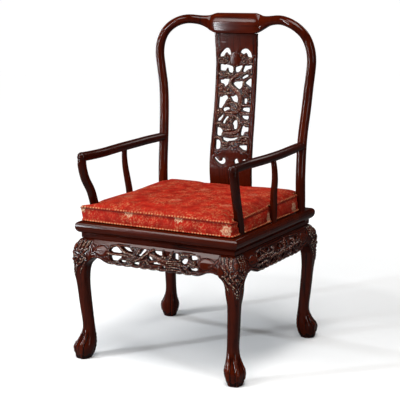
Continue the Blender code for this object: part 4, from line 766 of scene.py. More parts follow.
def carved_path(points, scale):
    """Return the smooth path of a carved line in millimetres."""
    path = smooth_path([Vector((x * scale[0], z * scale[1], 0.0)) for x, z in points], 6)
    return np.array([(point.x, point.y) for point in path])


def run_lengths(path):
    """Return how far along a path each of its points is."""
    return np.concatenate(([0.0], np.cumsum(np.linalg.norm(np.diff(path, axis=0), axis=1))))


def measure_path(places, path):
    """Return how far each place is from a path, how far along it that is, and its length."""
    best = np.full(len(places), 1e9)
    along = np.zeros(len(places))
    lengths = run_lengths(path)
    for start, end, run, size in zip(path, path[1:], lengths, np.diff(lengths)):
        step = end - start
        share = np.clip((places - start) @ step / max(size * size, 1e-9), 0.0, 1.0)
        away = np.linalg.norm(places - start - share[:, None] * step, axis=1)
        along = np.where(away < best, run + share * size, along)
        best = np.minimum(best, away)
    return best, along, lengths[-1]


def lay_over(under, away, width, raised):
    """Lay a carved form over what is there, with a cut groove along its sides."""
    beside = np.clip(1.0 - (away - width) / GROOVE_WIDTH, 0.0, 1.0)
    over = raised + 0.3 * np.clip(under, 0.0, None)
    return np.where(away < width, over, under - GROOVE_DEPTH * beside ** 1.5)


def lay_line(total, places, line, scale):
    """Carve a round strand, a scaled body or a leaf with its rib."""
    points, start, end, height, kind = line
    path = carved_path(points, scale)
    reach = max(start, end) + GROOVE_WIDTH
    spot = np.all((places > path.min(axis=0) - reach) & (places < path.max(axis=0) + reach), axis=1)
    if not spot.any():
        return
    away, along, length = measure_path(places[spot], path)
    share = along / length
    width = start + (end - start) * share
    if kind in ("leaf", "dome"):
        width = width * np.sin(math.pi * (0.10 + 0.86 * share)) ** 0.6
    section = arch(away / width)
    raised = height * section
    if kind == "leaf":
        vein = np.abs((along * 0.42 + away * 0.5) % 1.0 - 0.5)
        rib = height * 0.42 * bell(away, 0.9)
        raised = raised - rib - 0.5 * section * np.clip(1.0 - vein * 5.0, 0.0, 1.0)
    if kind == "scaled":
        row = along / 3.6
        shift = np.where(np.floor(row) % 2 == 0, 0.0, 0.5)
        across = np.abs((away / 3.4 + shift) % 1.0 - 0.5)
        edge = np.clip(np.abs(row % 1.0 - 0.5 - across * 0.6), 0.0, 0.25) * 4
        raised = raised - section * 0.9 * (1.0 - edge) * np.clip(width / 5.0, 0.4, 1.0)
    total[spot] = lay_over(total[spot], away, width, raised)


def lay_boss(total, places, boss, scale):
    """Carve a round knob, or a curl of some turns."""
    x, z, radius, height, turns = boss
    away = places - np.array((x * scale[0], z * scale[1]))
    reach = np.linalg.norm(away, axis=1)
    dome = arch(reach / radius)
    raised = height * dome
    if turns:
        turn = np.arctan2(away[:, 1], away[:, 0]) / (2 * math.pi) * (1 if turns > 0 else -1)
        arm = (reach / radius * abs(turns) - turn) % 1.0
        ridge = arch(2 * arm - 1.0)
        raised = height * np.clip(dome * 1.6, 0.0, 1.0) * (0.35 + 0.65 * ridge)
    total[:] = lay_over(total, reach, radius, raised)


def relief(places, lines, bosses, scale):
    """Return the height of all the carving over each place, in millimetres, form laid over form."""
    total = np.zeros(len(places))
    for line in lines:
        lay_line(total, places, line, scale)
    for boss in bosses:
        lay_boss(total, places, boss, scale)
    return np.maximum(total, -1.6 * GROOVE_DEPTH)


def above_surroundings(piece, values, rounds):
    """Return how far the value at each point is above the values round it."""
    edges = np.zeros(len(piece.data.edges) * 2, dtype=np.int32)
    piece.data.edges.foreach_get("vertices", edges)
    first, second = edges.reshape(-1, 2).T
    count = np.maximum(np.bincount(edges, minlength=len(values)), 1)
    soft = values
    for _ in range(rounds):
        beside = np.bincount(first, soft[second], len(values)) + np.bincount(second, soft[first], len(values))
        soft = beside / count
    return values - soft


def write_points(piece, places, raised, share):
    """Move a mesh's points, and keep how high each stands in the carving and where the carving is."""
    above = above_surroundings(piece, raised, 6)
    # The kept height lets the finish paint shade into the hollows and highlights onto the high places
    keep_values(piece, "carved_height", np.clip(0.5 + raised / HEIGHT_RANGE + above / EDGE_RANGE, 0.0, 1.0))
    keep_values(piece, "carved_share", share * np.clip(np.abs(above) / EDGE_LEAST - 0.8, 0.0, 1.0))
    move_points(piece, places)


def reach_to_walls(places, walls):
    """Return how far each place is, seen from the front, from the nearest of the walls."""
    tree = nearest_finder([(x, 0.0, z) for x, _, z in walls])
    return np.array([tree.find((x, 0.0, z))[2] for x, _, z in places])


def see_through(openings, scale, origin, slant):
    """Return openings in metres, with their left sides as far left as the slanting look hides them."""
    rings = []
    for opening in openings:
        ring = np.array(opening) * scale + (0.0, origin)
        ahead = np.roll(ring, -1, axis=0)
        behind = np.roll(ring, 1, axis=0)
        turn = np.sign(np.sum(ring[:, 0] * ahead[:, 1] - ahead[:, 0] * ring[:, 1]))
        outward = turn * (ahead - behind)[:, 1] / np.linalg.norm(ahead - behind, axis=1)
        ring[:, 0] -= slant * np.sqrt(np.clip(-outward, 0.0, 1.0))
        rings.append(ring)
    return rings


def draw_board(name, outline, openings, half):
    """Draw a board and its openings as a flat curve, give it its thickness and stand it up."""
    rings = [[(x, z, 0.0) for x, z in ring] for ring in (outline, *openings)]
    curve = draw_lines(name, rings, closed=True).data
    curve.dimensions = "2D"
    curve.fill_mode = "BOTH"
    curve.extrude = half
    piece = make_mesh(name)
    piece.data.transform(Matrix.Rotation(math.radians(90), 4, "X"))
    weld(piece)
    return piece


def carve_board(piece, carving, grain, middle, half, field, lines, bosses, scale, origin, ends=1.0):
    """Round every strand of a pierced flat board, carve its front, form over form, and bend it."""
    apply_modifier(piece, "REMESH", mode="VOXEL", voxel_size=grain, use_smooth_shade=True)
    apply_modifier(piece, "SMOOTH", factor=0.5, iterations=2)
    places = read_points(piece)
    normals = read_points(piece, "normal")
    depth = places[:, 1] / half
    walls = places[(np.abs(normals[:, 1]) < 0.5) & (np.abs(places[:, 0]) < ends)]
    to_edge = reach_to_walls(places, walls)
    inside = field(places[:, 0], places[:, 2])
    reach = PLAIN_ROUNDING + (carving.rounding - PLAIN_ROUNDING) * inside
    drop = PLAIN_SINK + (carving.sink - PLAIN_SINK) * inside
    lip = 1.0 - np.clip(to_edge / reach, 0.0, 1.0)
    rounded = drop * (1.0 - np.sqrt(1.0 - lip ** 2))
    plan = np.column_stack((places[:, 0], places[:, 2] - origin)) * 1000.0
    raised = relief(plan, lines, bosses, scale) / 1000.0
    x, z = plan.T
    chipped = np.sin(x * 1.1 + 2.0 * np.sin(z * 0.5)) * np.sin(z * 0.9 + x * 0.3)
    front = raised - rounded + (CHIP_HEIGHT * chipped - GROUND_SINK) * inside
    share_front = np.clip(-depth, 0.0, 1.0)
    share_back = np.clip(depth, 0.0, 1.0)
    places[:, 1] += middle(places[:, 2]) - front * share_front - rounded * 0.6 * share_back
    write_points(piece, places, front * share_front, inside * share_front)


# Finishes


def add_node(tree, kind, **values):
    """Add a node and set its plain attributes and, by name, its input sockets."""
    node = tree.nodes.new(kind)
    for name, value in values.items():
        if hasattr(node, name):
            setattr(node, name, value)
        else:
            node.inputs[name.replace("_", " ")].default_value = value
    return node


def new_group(name, inputs, outputs):
    """Make a shader node group with named sockets and return it with its two end nodes."""
    group = bpy.data.node_groups.new(name, "ShaderNodeTree")
    for label, kind, value in inputs:
        socket = group.interface.new_socket(label, in_out="INPUT", socket_type=kind)
        if value is not None:
            socket.default_value = value
    for label, kind in outputs:
        group.interface.new_socket(label, in_out="OUTPUT", socket_type=kind)
    return group, group.nodes.new("NodeGroupInput"), group.nodes.new("NodeGroupOutput")


def ramp(tree, factor, stops):
    """Add a colour ramp with its stops and feed it."""
    node = tree.nodes.new("ShaderNodeValToRGB")
    elements = node.color_ramp.elements
    while len(elements) < len(stops):
        elements.new(0.5)
    for element, (place, colour) in zip(elements, stops):
        element.position = place
        element.color = (*colour, 1.0) if len(colour) == 3 else colour
    tree.links.new(factor, node.inputs["Fac"])
    return node


def mix_colours(tree, factor, first, second):
    """Mix two colours, each a socket or plain numbers, and return the mixed one."""
    node = add_node(tree, "ShaderNodeMix", data_type="RGBA")
    tree.links.new(factor, node.inputs[0])
    for socket, colour in ((node.inputs[6], first), (node.inputs[7], second)):
        if hasattr(colour, "is_output"):
            tree.links.new(colour, socket)
        else:
            socket.default_value = (*colour, 1.0)
    return node.outputs[2]


def math_node(tree, operation, first, second=None, third=None):
    """Add a math node fed by sockets or numbers and return its value."""
    node = add_node(tree, "ShaderNodeMath", operation=operation)
    for socket, value in zip(node.inputs, (first, second, third)):
        if value is None:
            continue
        if isinstance(value, (int, float)):
            socket.default_value = value
        else:
            tree.links.new(value, socket)
    return node.outputs[0]


def multiply_colours(tree, first, second):
    """Multiply two colours and return their product."""
    node = add_node(tree, "ShaderNodeMix", data_type="RGBA", blend_type="MULTIPLY")
    node.inputs[0].default_value = 1.0
    tree.links.new(first, node.inputs[6])
    tree.links.new(second, node.inputs[7])
    return node.outputs[2]


def add_noise(tree, where, **values):
    """Add a noise over places and return its node."""
    noise = add_node(tree, "ShaderNodeTexNoise", **values)
    tree.links.new(where, noise.inputs["Vector"])
    return noise


def kept_value(tree, name):
    """Return a value that is kept for each point of a mesh."""
    return add_node(tree, "ShaderNodeAttribute", attribute_name=name).outputs["Fac"]


def map_range(tree, value, start, end, low, high):
    """Map a value from one range to another and return it."""
    node = add_node(tree, "ShaderNodeMapRange")
    for socket, number in (("From Min", start), ("From Max", end), ("To Min", low), ("To Max", high)):
        node.inputs[socket].default_value = number
    tree.links.new(value, node.inputs["Value"])
    return node.outputs["Result"]


def add_bump(tree, height, strength, distance):
    """Turn a height into a normal and return it."""
    bump = add_node(tree, "ShaderNodeBump", Strength=strength, Distance=distance)
    tree.links.new(height, bump.inputs["Height"])
    return bump.outputs["Normal"]


def new_material(name):
    """Make a finish and return it with its nodes and its shader."""
    material = bpy.data.materials.new(name)
    material.use_nodes = True
    return material, material.node_tree, material.node_tree.nodes["Principled BSDF"]


def grain_group():
    """Streaks and pores that run along the wood."""
    group, entry, leave = new_group(
        "long grain",
        (("Place", "NodeSocketVector", None), ("Stretch", "NodeSocketVector", (1.0, 1.0, 0.08))),
        (("Streaks", "NodeSocketFloat"), ("Pores", "NodeSocketFloat"), ("Cloud", "NodeSocketFloat")))
    link = group.links.new
    stretched = add_node(group, "ShaderNodeVectorMath", operation="MULTIPLY")
    link(entry.outputs["Place"], stretched.inputs[0])
    link(entry.outputs["Stretch"], stretched.inputs[1])
    along = stretched.outputs[0]
    streaks = add_noise(group, along, Scale=95.0, Detail=5.0, Roughness=0.62, Distortion=0.6)
    pores = add_noise(group, along, Scale=620.0, Detail=3.0, Roughness=0.6)
    cloud = add_noise(group, entry.outputs["Place"], Scale=9.0, Detail=3.0, Roughness=0.55)
    link(streaks.outputs["Fac"], leave.inputs["Streaks"])
    link(pores.outputs["Fac"], leave.inputs["Pores"])
    link(cloud.outputs["Fac"], leave.inputs["Cloud"])
    return group


def wood_material(name, grain, settings, stretch, carved=False, tone=1.0, haze=0.06):
    """Make polished rosewood whose grain runs one way; carved wood gets painted shade in its hollows, painted
    highlights on its high places and painted glints on its edges.
    """
    material, tree, shader = new_material(name)
    link = tree.links.new
    place = tree.nodes.new("ShaderNodeTexCoord").outputs["Object"]
    wood = add_node(tree, "ShaderNodeGroup", node_tree=grain)
    wood.inputs["Stretch"].default_value = stretch
    link(place, wood.inputs["Place"])
    colour = ramp(tree, wood.outputs["Streaks"], (
        (0.30, settings.dark_colour), (0.47, settings.red_colour), (0.60, settings.red_colour),
        (0.80, settings.light_colour)))
    shade = ramp(tree, wood.outputs["Cloud"], ((0.30, [0.62 * tone] * 3), (0.70, [1.25 * tone] * 3)))
    last = multiply_colours(tree, colour.outputs["Color"], shade.outputs["Color"])
    grooves = wood.outputs["Pores"]
    rough = map_range(tree, grooves, 0.3, 0.75, settings.roughness * 0.7, settings.roughness * 1.15)
    if carved:
        height = kept_value(tree, "carved_height")
        share = kept_value(tree, "carved_share")
        chisel = add_node(tree, "ShaderNodeTexVoronoi", Scale=210.0, Randomness=0.9)
        link(place, chisel.inputs["Vector"])
        cuts = math_node(tree, "MULTIPLY", chisel.outputs["Distance"], share)
        grooves = math_node(tree, "MULTIPLY_ADD", cuts, 5.0, grooves)
        # Painted shade and painted highlight: the low places of the carving are darkened, its high places and
        # edges lightened
        painted_relief_shade = ramp(tree, height, (
            (0.14, (0.06, 0.04, 0.04)), (0.42, (0.42, 0.36, 0.36)), (0.50, (1.0, 1.0, 1.0)),
            (0.68, (1.2, 1.3, 1.3)), (1.00, (1.6, 1.9, 1.9))))
        painted_relief_colour = multiply_colours(tree, last, painted_relief_shade.outputs["Color"])
        # Painted highlight: the highest edges, broken into patches, take a pale glint colour
        edges = ramp(tree, height, ((0.62, (0.0, 0.0, 0.0)), (0.88, (0.85, 0.85, 0.85))))
        broken = add_noise(tree, place, Scale=300.0, Detail=2.0, Roughness=0.6)
        patches = ramp(tree, broken.outputs["Fac"], ((0.57, (0.0, 0.0, 0.0)), (0.62, (1.0, 1.0, 1.0))))
        glinting = math_node(tree, "MULTIPLY", edges.outputs["Color"], patches.outputs["Color"])
        glinting = math_node(tree, "MULTIPLY", glinting, share)
        last = mix_colours(tree, glinting, painted_relief_colour, settings.painted_glint_colour)
        coat = math_node(tree, "MULTIPLY_ADD", share, settings.polish * 0.8, settings.polish * 0.8)
        link(coat, shader.inputs["Coat Weight"])
    link(last, shader.inputs["Base Color"])
    link(rough, shader.inputs["Roughness"])
    normal = add_bump(tree, grooves, 0.25, 0.0004)
    link(normal, shader.inputs["Normal"])
    if carved:
        link(normal, shader.inputs["Coat Normal"])
    shader.inputs["Coat Weight"].default_value = settings.polish * 0.9
    shader.inputs["Coat Roughness"].default_value = haze
    shader.inputs["Coat IOR"].default_value = 1.42
    shader.inputs["Specular IOR Level"].default_value = 0.02 if carved else 0.0
    shader.inputs["Specular Tint"].default_value = (1.0, 0.90, 0.80, 1.0)
    material.diffuse_color = (*settings.red_colour, 1.0)
    return material


def weave_group():
    """Fine diagonal twill of silk, as a height and a shade."""
    group, entry, leave = new_group(
        "silk twill", (("Place", "NodeSocketVector", None), ("Threads", "NodeSocketFloat", 1400.0)),
        (("Height", "NodeSocketFloat"), ("Shade", "NodeSocketFloat")))
    link = group.links.new
    wave = add_node(group, "ShaderNodeTexWave", wave_type="BANDS", bands_direction="DIAGONAL",
                    Distortion=0.6, Detail=1.0)
    link(entry.outputs["Place"], wave.inputs["Vector"])
    link(entry.outputs["Threads"], wave.inputs["Scale"])
    slub = add_node(group, "ShaderNodeTexNoise", Scale=260.0, Detail=2.0)
    link(entry.outputs["Place"], slub.inputs["Vector"])
    link(wave.outputs["Fac"], leave.inputs["Height"])
    link(slub.outputs["Fac"], leave.inputs["Shade"])
    return group


def flower_group():
    """A large flower of eight petals, repeated over the cloth, as a mask."""
    group, entry, leave = new_group(
        "large flowers",
        (("Place", "NodeSocketVector", None), ("Spacing", "NodeSocketFloat", 0.171),
         ("Radius", "NodeSocketFloat", 0.019), ("Shift", "NodeSocketVector", (0.0855, 0.0855, 0.0))),
        (("Mask", "NodeSocketFloat"),))
    link = group.links.new
    moved = add_node(group, "ShaderNodeVectorMath", operation="ADD")
    link(entry.outputs["Place"], moved.inputs[0])
    link(entry.outputs["Shift"], moved.inputs[1])
    parts = group.nodes.new("ShaderNodeSeparateXYZ")
    link(moved.outputs[0], parts.inputs[0])
    local = []
    for axis in (0, 1):
        cell = math_node(group, "DIVIDE", parts.outputs[axis], entry.outputs["Spacing"])
        cell = math_node(group, "FRACT", cell)
        cell = math_node(group, "SUBTRACT", cell, 0.5)
        local.append(math_node(group, "MULTIPLY", cell, entry.outputs["Spacing"]))
    square = math_node(group, "ADD", math_node(group, "MULTIPLY", local[0], local[0]),
                       math_node(group, "MULTIPLY", local[1], local[1]))
    reach = math_node(group, "DIVIDE", math_node(group, "SQRT", square), entry.outputs["Radius"])
    angle = math_node(group, "ARCTAN2", local[1], local[0])
    petal = math_node(group, "COSINE", math_node(group, "MULTIPLY", angle, 8.0))
    rim = math_node(group, "MULTIPLY_ADD", petal, 0.16, 0.84)
    inside = math_node(group, "LESS_THAN", reach, rim)
    rings = math_node(group, "SINE", math_node(group, "MULTIPLY", reach, 12.0))
    rings = math_node(group, "MULTIPLY_ADD", rings, 0.28, 0.80)
    link(math_node(group, "MULTIPLY", inside, rings), leave.inputs["Mask"])
    return group


def noise_mask(tree, where, scale, detail, roughness, distortion, low, high):
    """Return a mask of cloudy patches."""
    noise = add_noise(tree, where, Scale=scale, Detail=detail, Roughness=roughness, Distortion=distortion)
    mask = ramp(tree, noise.outputs["Fac"], ((low, (0.0, 0.0, 0.0)), (high, (1.0, 1.0, 1.0))))
    return mask.outputs["Color"]


def brocade_material(name, settings, weave, flowers, piped=False):
    """Make red silk brocade with gold clouds and, on the bands, cream flowers; the cord is dashed."""
    material, tree, shader = new_material(name)
    link = tree.links.new
    place = tree.nodes.new("ShaderNodeTexCoord")
    where = place.outputs["Object"] if piped else place.outputs["UV"]
    cloth = add_node(tree, "ShaderNodeGroup", node_tree=weave)
    link(where, cloth.inputs["Place"])
    warped = add_noise(tree, where, Scale=34.0, Detail=2.0)
    ground = ramp(tree, warped.outputs["Fac"], (
        (0.30, [part * 0.66 for part in settings.red_colour]),
        (0.70, [min(1.0, part * 1.2) for part in settings.red_colour]))).outputs["Color"]
    speckle = noise_mask(tree, where, 330.0, 3.0, 0.7, 0.0, 0.38, 0.60)
    if piped:
        turn = math_node(tree, "SINE", math_node(tree, "MULTIPLY", kept_value(tree, "cord_length"), 640.0))
        broken = noise_mask(tree, where, 95.0, 2.0, 0.6, 0.0, 0.36, 0.52)
        dash = math_node(tree, "MULTIPLY", math_node(tree, "GREATER_THAN", turn, -0.2), 0.75)
        gold_mask = math_node(tree, "MULTIPLY", dash, broken)
        last = mix_colours(tree, gold_mask, ground, settings.gold_colour)
    else:
        clouds = noise_mask(tree, where, 120.0, 5.0, 0.72, 1.1, 0.52, 0.57)
        drift = noise_mask(tree, where, 17.0, 2.0, 0.5, 0.0, 0.32, 0.62)
        gold_mask = math_node(tree, "MULTIPLY", math_node(tree, "MULTIPLY", clouds, speckle), drift)
        parts = tree.nodes.new("ShaderNodeSeparateXYZ")
        link(where, parts.inputs[0])
        band = math_node(tree, "LESS_THAN", parts.outputs[1], 0.5)
        flower = add_node(tree, "ShaderNodeGroup", node_tree=flowers)
        ragged = add_noise(tree, where, Scale=120.0, Detail=2.0)
        bent = add_node(tree, "ShaderNodeVectorMath", operation="MULTIPLY_ADD")
        link(ragged.outputs["Color"], bent.inputs[0])
        bent.inputs[1].default_value = (0.010, 0.010, 0.0)
        link(where, bent.inputs[2])
        link(bent.outputs[0], flower.inputs["Place"])
        flower_mask = math_node(tree, "MULTIPLY", flower.outputs["Mask"], speckle)
        strength = math_node(tree, "MULTIPLY_ADD", band, 0.75, 0.20)
        flower_mask = math_node(tree, "MULTIPLY", flower_mask, strength)
        faint = math_node(tree, "MULTIPLY", gold_mask, math_node(tree, "MULTIPLY_ADD", band, -0.16, 0.72))
        last = mix_colours(tree, faint, ground, settings.gold_colour)
        last = mix_colours(tree, flower_mask, last, settings.cream_colour)
        # Painted shadow: the band just under the upper piping takes a dark colour
        seam = math_node(tree, "MULTIPLY", kept_value(tree, "seam_shade"), 0.8)
        last = mix_colours(tree, seam, last, (0.03, 0.003, 0.002))
    link(last, shader.inputs["Base Color"])
    link(math_node(tree, "MULTIPLY_ADD", gold_mask, -0.14, 0.60), shader.inputs["Roughness"])
    shader.inputs["Specular IOR Level"].default_value = 0.06
    raised = math_node(tree, "MULTIPLY_ADD", gold_mask, 0.7, cloth.outputs["Height"])
    link(add_bump(tree, raised, 0.35, 0.0005), shader.inputs["Normal"])
    material.diffuse_color = (*settings.red_colour, 1.0)
    return material


def finish_named(name):
    """Return a finish that the finishes operator has made."""
    return bpy.data.materials[name]


def finish_node(node, finish):
    """Give a node of the frame a finish where it is."""
    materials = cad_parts[node].data.materials
    materials.clear()
    materials.append(finish)


class ARMCHAIR_OT_finishes(bpy.types.Operator):
    """Make the finishes: rosewood in three grain directions, plain and carved, and the brocade."""

    bl_idname = "armchair.finishes"
    bl_label = "Finishes"

    def execute(self, context):
        wood = context.scene.armchair_wood
        cushion = context.scene.armchair_cushion
        grain = grain_group()
        for name, stretch in grain_stretches:
            wood_material(f"rosewood_{name}", grain, wood, stretch, haze=0.15 if name == "across" else 0.06)
            wood_material(f"carved_rosewood_{name}", grain, wood, stretch, carved=True, haze=0.08)
            wood_material(f"dark_rosewood_{name}", grain, wood, stretch, tone=wood.arm_tone,
                          haze=0.22 if name == "deep" else 0.06)
        weave = weave_group()
        flowers = flower_group()
        brocade_material("brocade", cushion, weave, flowers)
        brocade_material("brocade_piping", cushion, weave, flowers, piped=True)
        return {"FINISHED"}


class ARMCHAIR_OT_seat_frame(bpy.types.Operator):
    """Dress the moulded seat rails, the waist, the seat panel and its battens."""

    bl_idname = "armchair.seat_frame"
    bl_label = "Seat frame"

    def execute(self, context):
        for name, quarter in QUARTERS:
            finish = finish_named("rosewood_deep" if quarter % 2 else "rosewood_across")
            rail = copy_node(f"seat_rail_{name}", f"moulded_rail_{name}")
            smooth(rail, 28.0)
            settle(rail, finish, f"seat_rail_{name}")
            finish_node(f"waist_{name}", finish)
        for node in ("seat_panel", "seat_batten_front", "seat_batten_back"):
            finish_node(node, finish_named("rosewood_across"))
        return {"FINISHED"}


def back_path():
    """Return the right half of the back's centre line."""
    places = [(across * BACK_HALF_WIDTH, BACK_SETBACK + back * BACK_RAKE, SEAT_TOP + up * BACK_RISE)
              for across, back, up in back_path_shares]
    return smooth_path(places, PATH_STEPS)


def let_down(path):
    """Let the foot of a post's path down into the seat frame."""
    path[0] = path[0] - Vector((0, 0, TENON))
    return path


class ARMCHAIR_OT_back_frame(bpy.types.Operator):
    """Make the round back posts, the bent shoulders and the crest rail."""

    bl_idname = "armchair.back_frame"
    bl_label = "Back frame"

    def execute(self, context):
        path = let_down(back_path()[:POST_TOP_STEP * PATH_STEPS + 3])
        radii = [POST_FOOT_RADIUS + (POST_RADIUS - POST_FOOT_RADIUS) * step / len(path)
                 for step in range(len(path))]
        radii[-1] = radii[-2] = radii[-2] - 0.0002
        for label, side in SIDES:
            post = add_bar(f"round_post_{label}", path, radii, side)
            settle(post, finish_named("rosewood_upright"), f"back_post_{label}")
            shoulder = copy_node(f"back_shoulder_{label}", f"bent_shoulder_{label}")
            soften(shoulder, 38.0, 2)
            settle(shoulder, finish_named("rosewood_upright"), f"back_shoulder_{label}")
        crest = copy_node("crest_rail", "headrest_crest")
        apply_modifier(crest, "BEVEL", width=0.0016, segments=3, limit_method="ANGLE",
                       angle_limit=math.radians(22))
        smooth(crest, 30.0)
        settle(crest, finish_named("rosewood_across"), "crest_rail")
        return {"FINISHED"}


def soften(piece, degrees, levels):
    """Crease a piece's real edges and subdivide the rest of it smooth."""
    bm = bmesh.new()
    bm.from_mesh(piece.data)
    layer = bm.edges.layers.float.get("crease_edge") or bm.edges.layers.float.new("crease_edge")
    for edge in bm.edges:
        if len(edge.link_faces) == 2 and edge.calc_face_angle() > math.radians(degrees):
            edge[layer] = 1.0
    bm.to_mesh(piece.data)
    bm.free()
    apply_modifier(piece, "SUBSURF", levels=levels, render_levels=levels)
    smooth(piece, degrees)


class ARMCHAIR_OT_arms(bpy.types.Operator):
    """Make the arm rails with their knuckles, the curved front posts and the slender side posts."""

    bl_idname = "armchair.arms"
    bl_label = "Arms"

    def execute(self, context):
        arm_height = SEAT_TOP + ARM_RISE
        post_path = back_path()
        start = Vector((ARM_HALF_WIDTH, -ARM_FRONT, arm_height))
        end = min(post_path, key=lambda place: abs(place.z - arm_height - ARM_LIFT))
        end = Vector((end.x, end.y, arm_height + ARM_LIFT))
        points = []
        for along, out, up in arm_rail_shares:
            place = start.lerp(end, along)
            place.x += out * ARM_BOW
            place.z = start.z + up * ARM_LIFT
            points.append(place)
        rail_path = smooth_path(points, PATH_STEPS)
        front_path = let_down(smooth_path([
            Vector((ARM_HALF_WIDTH - FRONT_POST_INSET * (1 - out),
                    -FRONT_POST_FOOT - (ARM_FRONT - FRONT_POST_FOOT) * forward,
                    SEAT_TOP + ARM_RISE * up)) for out, forward, up in front_post_shares], PATH_STEPS))
        carried = min(rail_path, key=lambda place: abs(place.y + SIDE_POST_LEAN - SIDE_POST_PLACE))
        side_path = let_down(smooth_path([
            Vector((SIDE_POST_HALF_WIDTH + SIDE_POST_BULGE * out, SIDE_POST_PLACE - SIDE_POST_LEAN * forward,
                    SEAT_TOP + (carried.z - SEAT_TOP) * up))
            for out, forward, up, _ in side_post_shares], PATH_STEPS))
        thickness = [row[3] for row in side_post_shares]
        side_radii = [SIDE_POST_RADIUS * float(np.interp(k / PATH_STEPS, range(len(thickness)), thickness))
                      for k in range(len(side_path))]
        for label, side in SIDES:
            rail = add_bar(f"curved_arm_{label}", rail_path, [ARM_RADIUS] * len(rail_path), side)
            bpy.ops.object.select_all(action="DESELECT")
            bpy.ops.mesh.primitive_uv_sphere_add(segments=32, ring_count=16, radius=KNUCKLE_RADIUS,
                                                 location=(side * start.x, start.y, start.z))
            knuckle = bpy.context.object
            select_only(knuckle)
            bpy.ops.object.transform_apply(location=True, rotation=True, scale=True)
            apply_modifier(rail, "BOOLEAN", operation="UNION", solver="EXACT", object=knuckle)
            bpy.data.objects.remove(knuckle)
            smooth(rail, 45.0)
            settle(rail, finish_named("dark_rosewood_deep"), f"arm_rail_{label}")
            front = add_bar(f"curved_front_post_{label}", front_path,
                            [FRONT_POST_RADIUS] * len(front_path), side)
            settle(front, finish_named("dark_rosewood_upright"), f"arm_front_post_{label}")
            slender = add_bar(f"slender_post_{label}", side_path, side_radii, side, sides=20)
            settle(slender, finish_named("rosewood_upright"), f"arm_side_post_{label}")
        return {"FINISHED"}


def splat_middle(height):
    """Return how far back the middle of the splat lies at a height."""
    share = (height - SEAT_TOP) / (CREST_BOTTOM - SEAT_TOP)
    nearby = [interpolate(splat_swing_shares, share + step * 0.02) for step in range(-2, 3)]
    return SPLAT_FRONT + SPLAT_SWING * np.mean(nearby, axis=0)


class ARMCHAIR_OT_splat(bpy.types.Operator):
    """Carve the splat: bats, clouds, branches and the coils of the dragon."""

    bl_idname = "armchair.splat"
    bl_label = "Carved splat"

    def execute(self, context):
        carving = context.scene.armchair_carving
        rise = CREST_BOTTOM - SEAT_TOP
        right = [(SPLAT_HALF_WIDTH * interpolate(splat_width_shares, step / 24), SEAT_TOP + rise * step / 24)
                 for step in range(25)]
        scrolls = [[(side * x, up) for x, up in splat_scroll] for side in (1, -1)]
        holes = see_through((*splat_openings, *scrolls), (SPLAT_HALF_WIDTH, rise), SEAT_TOP, carving.slant)
        splat = draw_board("carved_splat", right + [(-x, z) for x, z in reversed(right)], holes,
                           SPLAT_THICKNESS / 2)

        def field(x, z):
            """Return 1 in the carved field, 0 on its plain border and disc."""
            share = (z - SEAT_TOP) / rise
            disc = rise_from(np.hypot(x - DISC_ACROSS, z - SEAT_TOP - DISC_UP * rise), *DISC_RIM)
            across = fall_to(np.abs(x) / SPLAT_HALF_WIDTH, *SPLAT_FIELD_SIDE)
            up = rise_from(share, *SPLAT_FIELD_FOOT) * fall_to(share, *SPLAT_FIELD_HEAD)
            return across * up * disc

        carve_board(splat, carving, carving.splat_grain, splat_middle, SPLAT_THICKNESS / 2, field,
                    splat_lines, splat_bosses, (SPLAT_HALF_WIDTH * 1000, rise * 1000), SEAT_TOP)
        settle(splat, finish_named("carved_rosewood_upright"), "back_splat")
        smooth(splat, 60.0)
        return {"FINISHED"}


